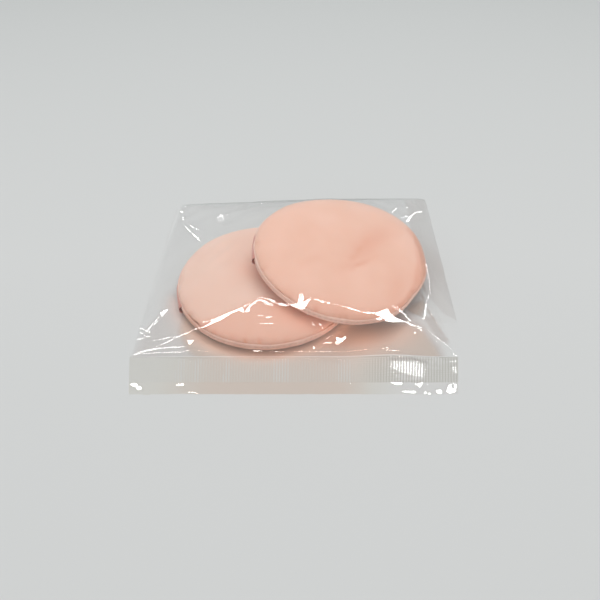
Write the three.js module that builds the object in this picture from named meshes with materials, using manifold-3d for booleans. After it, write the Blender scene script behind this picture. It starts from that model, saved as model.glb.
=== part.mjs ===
// A pair of round velour powder puffs, one lying partly on the other, sealed in a clear film pouch.
// Millimetres, +Z up, +Y from the sealed mouth towards the back fold. The origin is the middle of the
// pouch's box, on the surface that it lies on.
import * as THREE from 'three';
import { ConvexGeometry } from 'three/addons/geometries/ConvexGeometry.js';
import { mergeVertices } from 'three/addons/utils/BufferGeometryUtils.js';
import Module from 'manifold-3d';

const wasm = await Module();
wasm.setup();

// Clearance between soft pieces that touch
const softGap = 0.3;

// Puff: overall sizes, over the bound edge
const puffDiameter = 79.2;
const crownHeight = 8;
const backDepth = 2.4;

// Puff: cloths, binding, thread and ribbon
const faceThickness = 1.2;
const backThickness = 1;
const bindingWidth = 1.4;
const bindingHeight = 2.6;
const threadThickness = 0.5;
const ribbonWidth = 15;
const ribbonThickness = 0.4;
const ribbonStand = 0.6;

// How square the crown's shoulder and the back's edge are: 2 is an ellipse
const crownPlanPower = 2.6;
const crownRisePower = 2.2;
const backPlanPower = 5;
const backRisePower = 2.2;

// Where the two puffs lie, and how the upper one leans on the lower one
const puffStaggerX = 33.5;
const puffStaggerY = 7.8;
const upperLeanRightDegrees = 9;
const upperLeanForwardDegrees = 4.7;
const lowerRibbonTurnDegrees = 15;
const upperRibbonTurnDegrees = 3;

// Pouch: room round the puffs, and the sealed mouth
const leftRoom = 12.6;
const rightRoom = 8.7;
const frontRoom = 1.9;
const backRoom = 21;
const crimpDepth = 12.9;
const lipDepth = 5.8;
const filmThickness = 0.2;
const rimWidth = 1.2;
const weldWidth = 0.6;
const weldHeight = 0.5;

// How far each corner of the pouch's outline lies inside its box
const backLeftInset = 2.5;
const tuckInset = 1.2;
const tuckLength = 19.6;
const crimpRightInset = 4.8;
const crimpFrontLeftInset = 2.4;
const crimpFrontRightInset = 7.3;
const lipLeftInset = 3.6;
const lipRightInset = 8.5;

// Facets, and the overrun of a cutting body
const roundSteps = 36;
const crownSteps = 7;
const sectionSteps = 8;
const foldSteps = 6;
const cutOverrun = 1;
const mergeDistance = 1e-4;

// Sizes that follow from the ones above
const puffRadius = puffDiameter / 2;
const coverRadius = puffRadius - bindingWidth - softGap;
const backUnderside = ribbonThickness + softGap;
const seamHeight = backUnderside + backDepth + softGap / 2;
const pouchWidth = leftRoom + puffDiameter + puffStaggerX + rightRoom;
const pouchLength = lipDepth + crimpDepth + frontRoom + puffDiameter + puffStaggerY + backRoom;
const leftEdge = -pouchWidth / 2;
const rightEdge = pouchWidth / 2;
const lipFront = -pouchLength / 2;
const crimpFront = lipFront + lipDepth;
const crimpBack = crimpFront + crimpDepth;
const backEdge = pouchLength / 2;
const foldRadius = weldHeight / 2;
const filmBack = backEdge - foldRadius;
const lowerPuffX = leftEdge + leftRoom + puffRadius;
const lowerPuffY = crimpBack + frontRoom + puffRadius;
const lowerPuffZ = filmThickness + softGap;

const velour = new THREE.MeshStandardMaterial({ color: 0xefb596, roughness: 0.95, metalness: 0 });
const backCloth = new THREE.MeshStandardMaterial({ color: 0xe9a98c, roughness: 0.95, metalness: 0 });
const sponge = new THREE.MeshStandardMaterial({ color: 0xf3e3cf, roughness: 1, metalness: 0 });
const bindingCloth = new THREE.MeshStandardMaterial({ color: 0xe6bda3, roughness: 0.9, metalness: 0 });
const sewingThread = new THREE.MeshStandardMaterial({ color: 0xd39c86, roughness: 0.8, metalness: 0 });
const satin = new THREE.MeshStandardMaterial({ color: 0xc98a86, roughness: 0.45, metalness: 0 });
const clearFilm = new THREE.MeshStandardMaterial({
  color: 0xf4f2ee, roughness: 0.06, metalness: 0, transparent: true, opacity: 0.25,
});
const sealedFilm = new THREE.MeshStandardMaterial({
  color: 0xf0eeea, roughness: 0.2, metalness: 0, transparent: true, opacity: 0.35,
});

function piece(name, geometry, material) {
  const mesh = new THREE.Mesh(geometry, material);
  mesh.name = name;
  return mesh;
}

// A profile turned about Z. It runs from low to high on its outer side.
function turned(profile) {
  const geometry = new THREE.LatheGeometry(profile, roundSteps);
  geometry.rotateX(Math.PI / 2);
  return geometry;
}

// An outline in plan, standing on the height low.
function plate(points, low, thickness) {
  const shape = new THREE.Shape(points.map(([x, y]) => new THREE.Vector2(x, y)));
  const geometry = new THREE.ExtrudeGeometry(shape, { depth: thickness, bevelEnabled: false });
  geometry.translate(0, 0, low);
  return geometry;
}

// A rounded quarter from the axis to the rim. A negative rise goes down.
function quarter(radius, rise, planPower, risePower) {
  const points = [];
  for (let step = 0; step <= crownSteps; step += 1) {
    const turn = (step / crownSteps) * (Math.PI / 2);
    const out = step === crownSteps ? 1 : Math.sin(turn) ** (2 / planPower);
    const up = step === crownSteps ? 0 : Math.cos(turn) ** (2 / risePower);
    points.push(new THREE.Vector2(radius * out, seamHeight + rise * up));
  }
  return points;
}

// The crowned face at a distance inside its outer surface
function crownQuarter(inside) {
  return quarter(coverRadius - inside, crownHeight - inside, crownPlanPower, crownRisePower);
}

// The drawn-in back at a distance inside its outer surface
function backQuarter(inside) {
  return quarter(coverRadius - inside, inside - backDepth, backPlanPower, backRisePower);
}

function lifted(points, by) {
  return points.map((point) => new THREE.Vector2(point.x, point.y + by));
}

function faceCover(prefix) {
  const inner = lifted(crownQuarter(faceThickness), softGap / 2);
  const outer = lifted(crownQuarter(0), softGap / 2);
  return piece(`${prefix}_face_cover`, turned([...inner, ...outer.reverse()]), velour);
}

function backCover(prefix) {
  const outer = lifted(backQuarter(0), -softGap / 2);
  const inner = lifted(backQuarter(backThickness), -softGap / 2);
  return piece(`${prefix}_back_cover`, turned([...outer, ...inner.reverse()]), backCloth);
}

function foamCore(prefix) {
  const inside = Math.max(faceThickness, backThickness) + softGap;
  const below = backQuarter(inside);
  const above = crownQuarter(inside);
  above.pop();
  return piece(`${prefix}_foam_core`, turned([...below, ...above.reverse()]), sponge);
}

// A closed ring with an oval section
function ring(name, radius, height, width, depth, steps, material) {
  const section = [];
  for (let step = 0; step <= steps; step += 1) {
    const turn = ((step % steps) / steps) * Math.PI * 2;
    section.push(new THREE.Vector2(radius + (width / 2) * Math.cos(turn), height + (depth / 2) * Math.sin(turn)));
  }
  return piece(name, turned(section), material);
}

function edgeBinding(prefix) {
  const radius = puffRadius - bindingWidth / 2;
  return ring(`${prefix}_edge_binding`, radius, seamHeight, bindingWidth, bindingHeight, sectionSteps, bindingCloth);
}

function seamThread(prefix) {
  const radius = puffRadius - bindingWidth / 2;
  const height = seamHeight + bindingHeight / 2 + softGap + threadThickness / 2;
  return ring(`${prefix}_seam_thread`, radius, height, threadThickness, threadThickness, sectionSteps / 2, sewingThread);
}

// The ribbon's middle line on one side: flat under the back, then up past the binding
function ribbonHalf() {
  const low = ribbonThickness / 2;
  const high = seamHeight + low;
  const out = puffRadius + ribbonStand + low;
  const bend = high - low;
  const points = [];
  for (let step = 0; step <= foldSteps; step += 1) {
    const turn = (step / foldSteps) * (Math.PI / 2);
    points.push(new THREE.Vector2(out - bend * (1 - Math.sin(turn)), low + bend * (1 - Math.cos(turn))));
  }
  return points;
}

// A strip of even thickness along a middle line, as a closed outline
function stripOutline(line, thickness) {
  const sides = [[], []];
  line.forEach((point, index) => {
    const before = line[Math.max(index - 1, 0)];
    const after = line[Math.min(index + 1, line.length - 1)];
    const along = after.clone().sub(before).normalize();
    const across = new THREE.Vector2(-along.y, along.x).multiplyScalar(thickness / 2);
    sides[0].push(point.clone().add(across));
    sides[1].push(point.clone().sub(across));
  });
  return [...sides[1], ...sides[0].reverse()];
}

function ribbon(prefix, turnDegrees) {
  const right = ribbonHalf();
  const left = right.map((point) => new THREE.Vector2(-point.x, point.y)).reverse();
  const outline = stripOutline([...left, ...right], ribbonThickness);
  const geometry = new THREE.ExtrudeGeometry(new THREE.Shape(outline), { depth: ribbonWidth, bevelEnabled: false });
  geometry.translate(0, 0, -ribbonWidth / 2);
  geometry.rotateX(Math.PI / 2);
  const mesh = piece(`${prefix}_finger_ribbon`, geometry, satin);
  mesh.rotation.z = THREE.MathUtils.degToRad(turnDegrees);
  return mesh;
}

function puff(prefix, ribbonTurn) {
  const group = new THREE.Group();
  group.add(faceCover(prefix));
  group.add(foamCore(prefix));
  group.add(backCover(prefix));
  group.add(edgeBinding(prefix));
  group.add(seamThread(prefix));
  group.add(ribbon(prefix, ribbonTurn));
  return group;
}

// Points round a puff at a distance outside it, in the puff's own frame
function envelope(clear, ribbonTurn) {
  const points = [];
  const bound = seamHeight + bindingHeight / 2 + softGap + threadThickness;
  const rings = lifted(crownQuarter(-clear), softGap / 2);
  rings.push(new THREE.Vector2(puffRadius + clear, bound));
  rings.push(new THREE.Vector2(puffRadius + clear, backUnderside));
  for (const level of rings) {
    for (let step = 0; step < roundSteps; step += 1) {
      const turn = (step / roundSteps) * Math.PI * 2;
      points.push(new THREE.Vector3(level.x * Math.cos(turn), level.x * Math.sin(turn), level.y));
    }
  }
  const reach = puffRadius + ribbonStand + ribbonThickness + clear;
  const side = ribbonWidth / 2 + clear;
  const spin = new THREE.Matrix4().makeRotationZ(THREE.MathUtils.degToRad(ribbonTurn));
  for (const end of [-reach, reach]) {
    for (const edge of [-side, side]) {
      points.push(new THREE.Vector3(end, edge, seamHeight + ribbonThickness + clear).applyMatrix4(spin));
      points.push(new THREE.Vector3(end, edge, 0).applyMatrix4(spin));
    }
  }
  return points;
}

// The height at which the leaning puff's underside just clears the lower puff's crown
function restingHeight(lower, lean, x, y) {
  const up = new THREE.Vector3(0, 0, 1).applyQuaternion(lean);
  const crown = envelope(softGap, lowerRibbonTurnDegrees).map((point) => lower.localToWorld(point));
  const reach = Math.max(...crown.map((point) => point.dot(up)));
  return (reach - up.x * x - up.y * y) / up.z;
}

// The pouch's side lines, from the back fold to the crimp
const leftLine = [
  [leftEdge + backLeftInset, filmBack],
  [leftEdge, crimpBack],
];
const rightLine = [
  [rightEdge, filmBack],
  [rightEdge - tuckInset, crimpBack + tuckLength],
  [rightEdge - crimpRightInset, crimpBack],
];

function shifted(line, by) {
  return line.map(([x, y]) => [x + by, y]);
}

const filmOutline = [...shifted(leftLine, weldWidth), ...shifted(rightLine, -weldWidth).reverse()];

// An outline drawn in by a distance, corner by corner
function drawnIn(outline, distance) {
  return outline.map((corner, index) => {
    const here = new THREE.Vector2(...corner);
    const before = new THREE.Vector2(...outline[(index + outline.length - 1) % outline.length]);
    const after = new THREE.Vector2(...outline[(index + 1) % outline.length]);
    const first = here.clone().sub(before).normalize();
    const second = after.sub(here).normalize();
    const inward = new THREE.Vector2(-first.y - second.y, first.x + second.x).normalize();
    const square = inward.dot(new THREE.Vector2(-first.y, first.x));
    const moved = here.addScaledVector(inward, distance / square);
    return [moved.x, moved.y];
  });
}

function asSolid(geometry) {
  const bare = geometry.clone();
  bare.deleteAttribute('normal');
  bare.deleteAttribute('uv');
  const merged = mergeVertices(bare, mergeDistance);
  const mesh = new wasm.Mesh({
    numProp: 3,
    vertProperties: new Float32Array(merged.attributes.position.array),
    triVerts: new Uint32Array(merged.index.array),
  });
  return new wasm.Manifold(mesh);
}

function asGeometry(solid) {
  const mesh = solid.getMesh();
  const geometry = new THREE.BufferGeometry();
  geometry.setAttribute('position', new THREE.BufferAttribute(mesh.vertProperties, 3));
  geometry.setIndex(new THREE.BufferAttribute(mesh.triVerts, 1));
  return geometry;
}

// The tight skin over both puffs and down to an outline
function tent(puffs, clear, outline, levels) {
  const points = [];
  for (const { group, ribbonTurn } of puffs) {
    points.push(...envelope(clear, ribbonTurn).map((point) => group.localToWorld(point)));
  }
  for (const [x, y] of outline) {
    for (const level of levels) {
      points.push(new THREE.Vector3(x, y, level));
    }
  }
  return new ConvexGeometry(points);
}

function topFilm(puffs) {
  const outerLevels = [filmThickness, 2 * filmThickness];
  const innerLevels = [filmThickness - cutOverrun, filmThickness];
  const outer = asSolid(tent(puffs, softGap + filmThickness, filmOutline, outerLevels));
  const inner = asSolid(tent(puffs, softGap, drawnIn(filmOutline, rimWidth), innerLevels));
  return piece('pouch_top_film', asGeometry(outer.subtract(inner)), clearFilm);
}

function sideWeld(name, line, by) {
  return piece(name, plate([...line, ...shifted(line, by).reverse()], 0, weldHeight), clearFilm);
}

// The half-round fold that joins the two films along the back
function backFold() {
  const section = new THREE.Shape();
  section.moveTo(0, 0);
  for (let step = 0; step <= foldSteps; step += 1) {
    const turn = (step / foldSteps) * Math.PI - Math.PI / 2;
    section.lineTo(foldRadius * Math.cos(turn), foldRadius + foldRadius * Math.sin(turn));
  }
  const [left] = leftLine[0];
  const [right] = rightLine[0];
  const geometry = new THREE.ExtrudeGeometry(section, { depth: right - left, bevelEnabled: false });
  geometry.rotateX(Math.PI / 2);
  geometry.rotateZ(Math.PI / 2);
  geometry.translate(left, filmBack, 0);
  return piece('pouch_back_fold', geometry, clearFilm);
}

const crimpOutline = [
  [leftEdge, crimpBack],
  [leftEdge + crimpFrontLeftInset, crimpFront],
  [rightEdge - crimpFrontRightInset, crimpFront],
  [rightEdge - crimpRightInset, crimpBack],
];
const lipOutline = [
  [leftEdge + crimpFrontLeftInset, crimpFront],
  [leftEdge + lipLeftInset, lipFront],
  [rightEdge - lipRightInset, lipFront],
  [rightEdge - crimpFrontRightInset, crimpFront],
];

const lowerPuff = puff('lower', lowerRibbonTurnDegrees);
lowerPuff.position.set(lowerPuffX, lowerPuffY, lowerPuffZ);
lowerPuff.updateMatrixWorld(true);

const upperPuff = puff('upper', upperRibbonTurnDegrees);
upperPuff.rotation.set(
  THREE.MathUtils.degToRad(upperLeanForwardDegrees),
  THREE.MathUtils.degToRad(upperLeanRightDegrees),
  0,
);
const upperPuffX = lowerPuffX + puffStaggerX;
const upperPuffY = lowerPuffY + puffStaggerY;
const upperPuffZ = restingHeight(lowerPuff, upperPuff.quaternion, upperPuffX, upperPuffY);
upperPuff.position.set(upperPuffX, upperPuffY, upperPuffZ);
upperPuff.updateMatrixWorld(true);

const bothPuffs = [
  { group: lowerPuff, ribbonTurn: lowerRibbonTurnDegrees },
  { group: upperPuff, ribbonTurn: upperRibbonTurnDegrees },
];

const pouch = new THREE.Group();
pouch.add(piece('pouch_bottom_film', plate(filmOutline, 0, filmThickness), clearFilm));
pouch.add(topFilm(bothPuffs));
pouch.add(sideWeld('pouch_left_weld', leftLine, weldWidth));
pouch.add(sideWeld('pouch_right_weld', rightLine, -weldWidth));
pouch.add(backFold());
pouch.add(piece('pouch_mouth_crimp', plate(crimpOutline, 0, 2 * filmThickness), sealedFilm));
pouch.add(piece('pouch_mouth_lip', plate(lipOutline, 0, 2 * filmThickness), clearFilm));

const set = new THREE.Group();
set.add(lowerPuff);
set.add(upperPuff);
set.add(pouch);

export default set;
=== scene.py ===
import math

import bmesh
import bpy
import numpy as np
from mathutils import Matrix, Vector, noise
from mathutils.bvhtree import BVHTree
from mathutils.geometry import convex_hull_2d, delaunay_2d_cdt
from mathutils.kdtree import KDTree


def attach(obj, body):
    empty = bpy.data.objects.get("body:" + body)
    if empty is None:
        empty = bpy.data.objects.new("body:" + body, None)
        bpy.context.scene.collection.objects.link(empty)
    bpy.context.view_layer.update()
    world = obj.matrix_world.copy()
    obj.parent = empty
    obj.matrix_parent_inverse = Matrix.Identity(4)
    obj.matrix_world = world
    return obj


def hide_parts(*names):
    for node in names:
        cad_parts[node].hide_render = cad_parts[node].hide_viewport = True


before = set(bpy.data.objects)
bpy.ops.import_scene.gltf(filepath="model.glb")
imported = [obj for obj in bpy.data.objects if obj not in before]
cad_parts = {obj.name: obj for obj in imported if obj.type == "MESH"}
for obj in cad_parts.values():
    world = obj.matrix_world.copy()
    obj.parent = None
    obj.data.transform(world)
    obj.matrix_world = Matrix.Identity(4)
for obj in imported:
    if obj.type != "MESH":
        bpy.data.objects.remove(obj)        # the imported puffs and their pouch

scene = bpy.context.scene
mm = 0.001
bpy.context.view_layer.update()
print("frame loaded:", len(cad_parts), "nodes")

# Camera: standing in front of the pouch's mouth, looking down at it
view = {"place": (0, -206 * mm, 175 * mm), "pitchDegrees": 42, "lens": 36, "sensor": 36, "pixels": 600}

cameraData = bpy.data.cameras.new("photoCamera")
cameraData.lens = view["lens"]
cameraData.sensor_width = view["sensor"]
cameraData.clip_start = 5 * mm
cameraData.clip_end = 10
photoCamera = bpy.data.objects.new("photoCamera", cameraData)
photoCamera.location = view["place"]
photoCamera.rotation_euler = (math.radians(90 - view["pitchDegrees"]), 0, 0)
scene.collection.objects.link(photoCamera)
scene.camera = photoCamera
scene.view_settings.view_transform = "Standard"

# Light: the film's small facets are tilted towards the glint lamp, so its place stands here
lightSetup = {
    "horizon": 0.565, "zenith": 0.72,
    "windowRadiance": 1.9, "windowSize": (1.4, 0.8), "windowPlace": (0.0, 0.45, 1.1),
    "glintRadiance": 45.0, "glintSize": (1.8, 0.018), "glintPlace": (0.0, -0.02, 0.55),
    "glowColour": (1.0, 0.40, 0.21), "sideColour": (1.0, 0.6, 0.48),
}


# Small helpers

def smoothStep(low, high, value):
    share = min(max((value - low) / (high - low), 0), 1)
    return share * share * (3 - 2 * share)


def ripple(x, y, z=0.0):
    return noise.noise(Vector((x, y, z)))


def makePiece(name, bm, material, closed=False, keepShading=False):
    if closed:
        bmesh.ops.recalc_face_normals(bm, faces=bm.faces)
    mesh = bpy.data.meshes.new(name)
    bm.to_mesh(mesh)
    bm.free()
    mesh.materials.append(material)
    if not keepShading:
        mesh.polygons.foreach_set("use_smooth", [True] * len(mesh.polygons))
    piece = bpy.data.objects.new(name, mesh)
    scene.collection.objects.link(piece)
    return piece


def sight(u, v):
    # the direction in which the camera sees a pixel of the photograph
    focal = view["lens"] / view["sensor"] * view["pixels"]
    middle = view["pixels"] / 2
    turn = photoCamera.rotation_euler.to_matrix()
    return (turn @ Vector(((u - middle) / focal, (middle - v) / focal, -1))).normalized()


def pixelOf(spot):
    # where the camera sees a place, in pixels of the photograph
    focal = view["lens"] / view["sensor"] * view["pixels"]
    middle = view["pixels"] / 2
    away = photoCamera.rotation_euler.to_matrix().transposed() @ (spot - photoCamera.location)
    return middle - focal * away.x / away.z, middle + focal * away.y / away.z


def insideLoop(x, y, loop):
    inside = False
    for (ax, ay), (bx, by) in zip(loop, loop[1:] + loop[:1]):
        if (ay > y) != (by > y) and x < (bx - ax) * (y - ay) / (by - ay) + ax:
            inside = not inside
    return inside


def nearestOn(x, y, a, b):
    # the nearest place on a stretch, how far off it is, and its share of the way along
    a, b, spot = Vector(a), Vector(b), Vector((x, y))
    share = min(max((spot - a).dot(b - a) / (b - a).length_squared, 0), 1)
    near = a.lerp(b, share)
    return near, (spot - near).length, share


def nearLine(x, y, line):
    # how far a place is from a line, and how far along the line it lies, from 0 to 1
    best, along = 1.0, 0.0
    for index, (a, b) in enumerate(zip(line, line[1:])):
        near, away, share = nearestOn(x, y, a, b)
        if away < best:
            best, along = away, (index + share) / (len(line) - 1)
    return best, along


def patchShade(spot, patches):
    # how strongly a place is covered by soft-edged patches given in pixels
    u, v = pixelOf(spot)
    shade = 0
    for strength, fade, loop in patches:
        away = 0
        if not insideLoop(u, v, loop):
            away = min(nearestOn(u, v, a, b)[1] for a, b in zip(loop, loop[1:] + loop[:1]))
        shade = max(shade, strength * (1 - smoothStep(0, fade, away)))
    return shade


def paint(piece, name, values):
    piece.data.attributes.new(name, "FLOAT", "POINT").data.foreach_set("value", values)


def standFor(piece, node):
    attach(piece, "root")
    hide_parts(node)


def thicken(piece, thickness, offset):
    solid = piece.modifiers.new("thickness", "SOLIDIFY")
    solid.thickness = thickness
    solid.offset = offset


def subdivide(piece, levels):
    finer = piece.modifiers.new("finer", "SUBSURF")
    finer.levels = levels
    finer.render_levels = levels


# Materials

def startMaterial(name):
    material = bpy.data.materials.new(name)
    material.use_nodes = True
    tree = material.node_tree
    tree.nodes.clear()
    output = tree.nodes.new("ShaderNodeOutputMaterial")
    return material, tree, output


def addNode(tree, kind, **values):
    node = tree.nodes.new(kind)
    for name, value in values.items():
        if hasattr(node, name):
            setattr(node, name, value)
        else:
            node.inputs[name.replace("_", " ")].default_value = value
    return node


def noiseField(tree, vector, size, detail=2.0, roughness=0.5):
    field = addNode(tree, "ShaderNodeTexNoise", Scale=1 / size, Detail=detail, Roughness=roughness)
    tree.links.new(vector, field.inputs["Vector"])
    return field.outputs["Fac"]


def shadeRange(tree, fac, low, high, lowColour, highColour, between=None):
    ramp = addNode(tree, "ShaderNodeValToRGB")
    ramp.color_ramp.elements[0].position = low
    ramp.color_ramp.elements[1].position = high
    ramp.color_ramp.elements[0].color = (*lowColour, 1)
    ramp.color_ramp.elements[1].color = (*highColour, 1)
    if between:
        ramp.color_ramp.elements.new((low + high) / 2).color = (*between, 1)
    tree.links.new(fac, ramp.inputs["Fac"])
    return ramp.outputs["Color"]


def painted(tree, name):
    return addNode(tree, "ShaderNodeAttribute", attribute_name=name).outputs["Fac"]


def clothMaterial(name, look):
    material, tree, output = startMaterial(name)
    place = addNode(tree, "ShaderNodeTexCoord").outputs["Object"]
    broad = noiseField(tree, place, look["patch"], 3)
    colour = shadeRange(tree, broad, 0.35, 0.65, look["dark"], look["light"])
    # painted shade: the painted share darkens the cloth towards its shaded colour in creases, seam wrinkles
    # and shaded places
    if look["shadedColour"]:
        paintedShade = addNode(tree, "ShaderNodeMixRGB", Color2=(*look["shadedColour"], 1))
        tree.links.new(painted(tree, "clothShade"), paintedShade.inputs["Fac"])
        tree.links.new(colour, paintedShade.inputs["Color1"])
        colour = paintedShade.outputs["Color"]
    surface = addNode(tree, "ShaderNodeBsdfPrincipled", Roughness=look["roughness"])
    surface.inputs["Specular IOR Level"].default_value = look["specular"]
    surface.inputs["Sheen Weight"].default_value = look["sheen"]
    surface.inputs["Sheen Roughness"].default_value = look["sheenRoughness"]
    surface.inputs["Sheen Tint"].default_value = (*look["sheenTint"], 1)
    surface.inputs["Subsurface Weight"].default_value = look["glow"]
    surface.inputs["Subsurface Radius"].default_value = look["glowReach"]
    surface.inputs["Subsurface Scale"].default_value = 1
    tree.links.new(colour, surface.inputs["Base Color"])
    pile = noiseField(tree, place, look["grain"], 3, 0.7)
    bump = addNode(tree, "ShaderNodeBump", Strength=look["bump"], Distance=look["grain"])
    tree.links.new(pile, bump.inputs["Height"])
    tree.links.new(bump.outputs["Normal"], surface.inputs["Normal"])
    tree.links.new(surface.outputs["BSDF"], output.inputs["Surface"])
    return material


# velour; its darker creased colour is painted shade, mixed in where creases, wrinkles and shaded places are
# painted
velourLook = {
    "dark": (0.89, 0.53, 0.405), "light": (0.92, 0.565, 0.445), "patch": 14 * mm,
    "roughness": 0.95, "specular": 0.1, "sheen": 0.2, "sheenRoughness": 0.5,
    "sheenTint": (1.0, 0.9, 0.84), "grain": 0.4 * mm, "bump": 0.3, "shadedColour": (0.84, 0.44, 0.32),
    "glow": 0.3, "glowReach": (1.2 * mm, 0.8 * mm, 0.6 * mm),
}
paleLook = dict(velourLook, dark=(0.85, 0.57, 0.465), light=(0.88, 0.605, 0.50))
plainLook = dict(velourLook, shadedColour=None)
backLook = dict(
    plainLook, dark=(0.80, 0.50, 0.38), light=(0.86, 0.56, 0.43), grain=0.7 * mm, bump=0.5, sheen=0.1,
)
spongeLook = dict(
    plainLook, dark=(0.84, 0.70, 0.55), light=(0.91, 0.78, 0.64), grain=0.9 * mm, bump=0.9, sheen=0,
)
bindingLook = dict(
    plainLook, dark=(0.82, 0.54, 0.445), light=(0.88, 0.61, 0.515), patch=4 * mm, grain=0.5 * mm, bump=0.45,
    sheen=0.15,
)
threadLook = dict(bindingLook, dark=(0.60, 0.34, 0.26), light=(0.70, 0.43, 0.34), patch=3 * mm, sheen=0.05)
satinLook = dict(
    plainLook, dark=(0.60, 0.24, 0.19), light=(0.70, 0.34, 0.29), patch=5 * mm, roughness=0.4, specular=0.4,
    grain=0.3 * mm, bump=0.25,
)
velours = {
    "lower": clothMaterial("palePeachVelour", paleLook), "upper": clothMaterial("peachVelour", velourLook),
}
backCloth = clothMaterial("backCloth", backLook)
sponge = clothMaterial("creamSponge", spongeLook)
bindingCloth = clothMaterial("bindingCloth", bindingLook)
seamThread = clothMaterial("seamThread", threadLook)
satin = clothMaterial("mauveSatin", satinLook)

# film: what it lets through where its painted shade is 0, 0.5 and 1, how much it mirrors seen straight on,
# and how much the painted mesh adds to that
filmLook = {
    "tint": (0.999, 0.999, 0.998), "grey": (0.93, 0.905, 0.895), "warm": (0.93, 0.84, 0.775),
    "facing": 0.035, "roughness": 0.015, "mesh": 0,
}
frontLook = dict(
    filmLook, tint=(0.985, 0.98, 0.975), grey=(0.965, 0.955, 0.93), warm=(0.955, 0.89, 0.845),
)
sealedLook = dict(
    frontLook, roughness=0.14, mesh=0.15, darkLine=(0.89, 0.89, 0.88), between=(0.985, 0.985, 0.985),
)


def filmMaterial(name, look):
    # clear film with a mirror share that grows where it is seen at a slant; the pieces carry a painted shade
    material, tree, output = startMaterial(name)
    tint = shadeRange(tree, painted(tree, "shade"), 0, 1, look["tint"], look["warm"], look["grey"])
    if look["mesh"]:
        lines = shadeRange(tree, painted(tree, "lines"), 0, 1, look["darkLine"], (1, 1, 1), look["between"])
        both = addNode(tree, "ShaderNodeVectorMath", operation="MULTIPLY")
        tree.links.new(tint, both.inputs[0])
        tree.links.new(lines, both.inputs[1])
        tint = both.outputs["Vector"]
    clear = addNode(tree, "ShaderNodeBsdfTransparent")
    tree.links.new(tint, clear.inputs["Color"])
    gloss = addNode(tree, "ShaderNodeBsdfGlossy", Roughness=look["roughness"])
    edge = addNode(tree, "ShaderNodeLayerWeight", Blend=0.5)
    steep = addNode(tree, "ShaderNodeMath", operation="POWER")
    steep.inputs[1].default_value = 5
    mirror = addNode(tree, "ShaderNodeMapRange")
    mirror.inputs["To Min"].default_value = look["facing"]
    mix = addNode(tree, "ShaderNodeMixShader")
    tree.links.new(edge.outputs["Facing"], steep.inputs[0])
    tree.links.new(steep.outputs["Value"], mirror.inputs["Value"])
    amount = mirror.outputs["Result"]
    if look["mesh"]:
        embossing = addNode(tree, "ShaderNodeMath", operation="MULTIPLY_ADD")
        embossing.inputs[1].default_value = look["mesh"]
        tree.links.new(painted(tree, "mesh"), embossing.inputs[0])
        tree.links.new(amount, embossing.inputs[2])
        amount = embossing.outputs["Value"]
    tree.links.new(amount, mix.inputs[0])
    tree.links.new(clear.outputs["BSDF"], mix.inputs[1])
    tree.links.new(gloss.outputs["BSDF"], mix.inputs[2])
    tree.links.new(mix.outputs["Shader"], output.inputs["Surface"])
    return material


clearFilm = filmMaterial("clearFilm", filmLook)
sealedFilm = filmMaterial("sealedFilm", sealedLook)
frontFilm = filmMaterial("frontFilm", frontLook)
print("materials made")


# Puffs: each is modelled flat on its seam plane, then laid where its CAD rings are

def seamPlane(prefix):
    corners = np.array([v.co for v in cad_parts[prefix + "_edge_binding"].data.vertices])
    middle = corners.mean(axis=0)
    axis = Vector(np.linalg.svd(corners - middle, full_matrices=False)[2][2])
    if axis.z < 0:
        axis.negate()
    right = (Vector((1, 0, 0)) - axis * axis.x).normalized()
    back = axis.cross(right)
    turn = Matrix((right, back, axis)).transposed().to_4x4()
    return Matrix.Translation(Vector(middle) + Vector(puffs[prefix]["shift"]) * mm) @ turn


puffShape = {
    "crownRadius": 38.7 * mm, "crownFoot": 1.1 * mm, "crownHeight": 8.1 * mm, "crownPlanPower": 2.6,
    "crownRisePower": 2.2, "tuckRing": 0.93, "tuckIn": 0.9 * mm, "tuckDown": 0.75 * mm, "cells": 64,
    "backRadius": 38.3 * mm, "backDepth": 2.4 * mm, "backPlanPower": 5, "backRisePower": 2.2,
    "fullShadeDepth": 0.6 * mm, "faceThickness": 1.1 * mm, "backThickness": 0.9 * mm, "backGap": 0.15 * mm,
    "coreInside": 1.5 * mm, "coreSteps": 14, "coreTurns": 72, "waveHigh": 0.25 * mm, "waveSize": 18 * mm,
    "creaseLevel": 7.4 * mm,
}
# how each puff's rim departs from a circle (flats: place and width in degrees, share of the radius), how far
# it is shifted in mm, and its creases: depth and half width in mm, then the line in pixels of the photograph
puffs = {
    "lower": {
        "size": 0.995, "oval": 0.014, "ovalDegrees": 108, "egg": 0.0, "eggDegrees": 0, "flats": [],
        "seed": 3, "ribbonDegrees": 15, "shift": (0, 0, 0),
        "creases": [(0.3, 5, [(232, 262), (262, 276), (290, 300)])],
    },
    "upper": {
        "size": 0.983, "oval": 0.026, "ovalDegrees": 43, "egg": 0.016, "eggDegrees": 43,
        "flats": [(8, 16, 0.02), (-35, 18, 0.032), (95, 35, 0.02)],
        "seed": 11, "ribbonDegrees": 3, "shift": (-0.6, -0.9, 0),
        "creases": [
            (0.5, 5, [(395, 222), (372, 240), (345, 268)]),
            (0.6, 0.85, [(341, 268), (346, 265), (352.5, 266.4), (361.4, 263.1), (378, 255.3)]),
            (0.5, 0.8, [(350, 262), (353.6, 257.5), (361.4, 247.5), (369, 238)]),
            (0.25, 1.3, [(300, 262), (316, 256), (330, 257)]),
            (0.3, 4, [(392, 305), (398, 285), (402, 262)]),
        ],
    },
}
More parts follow.
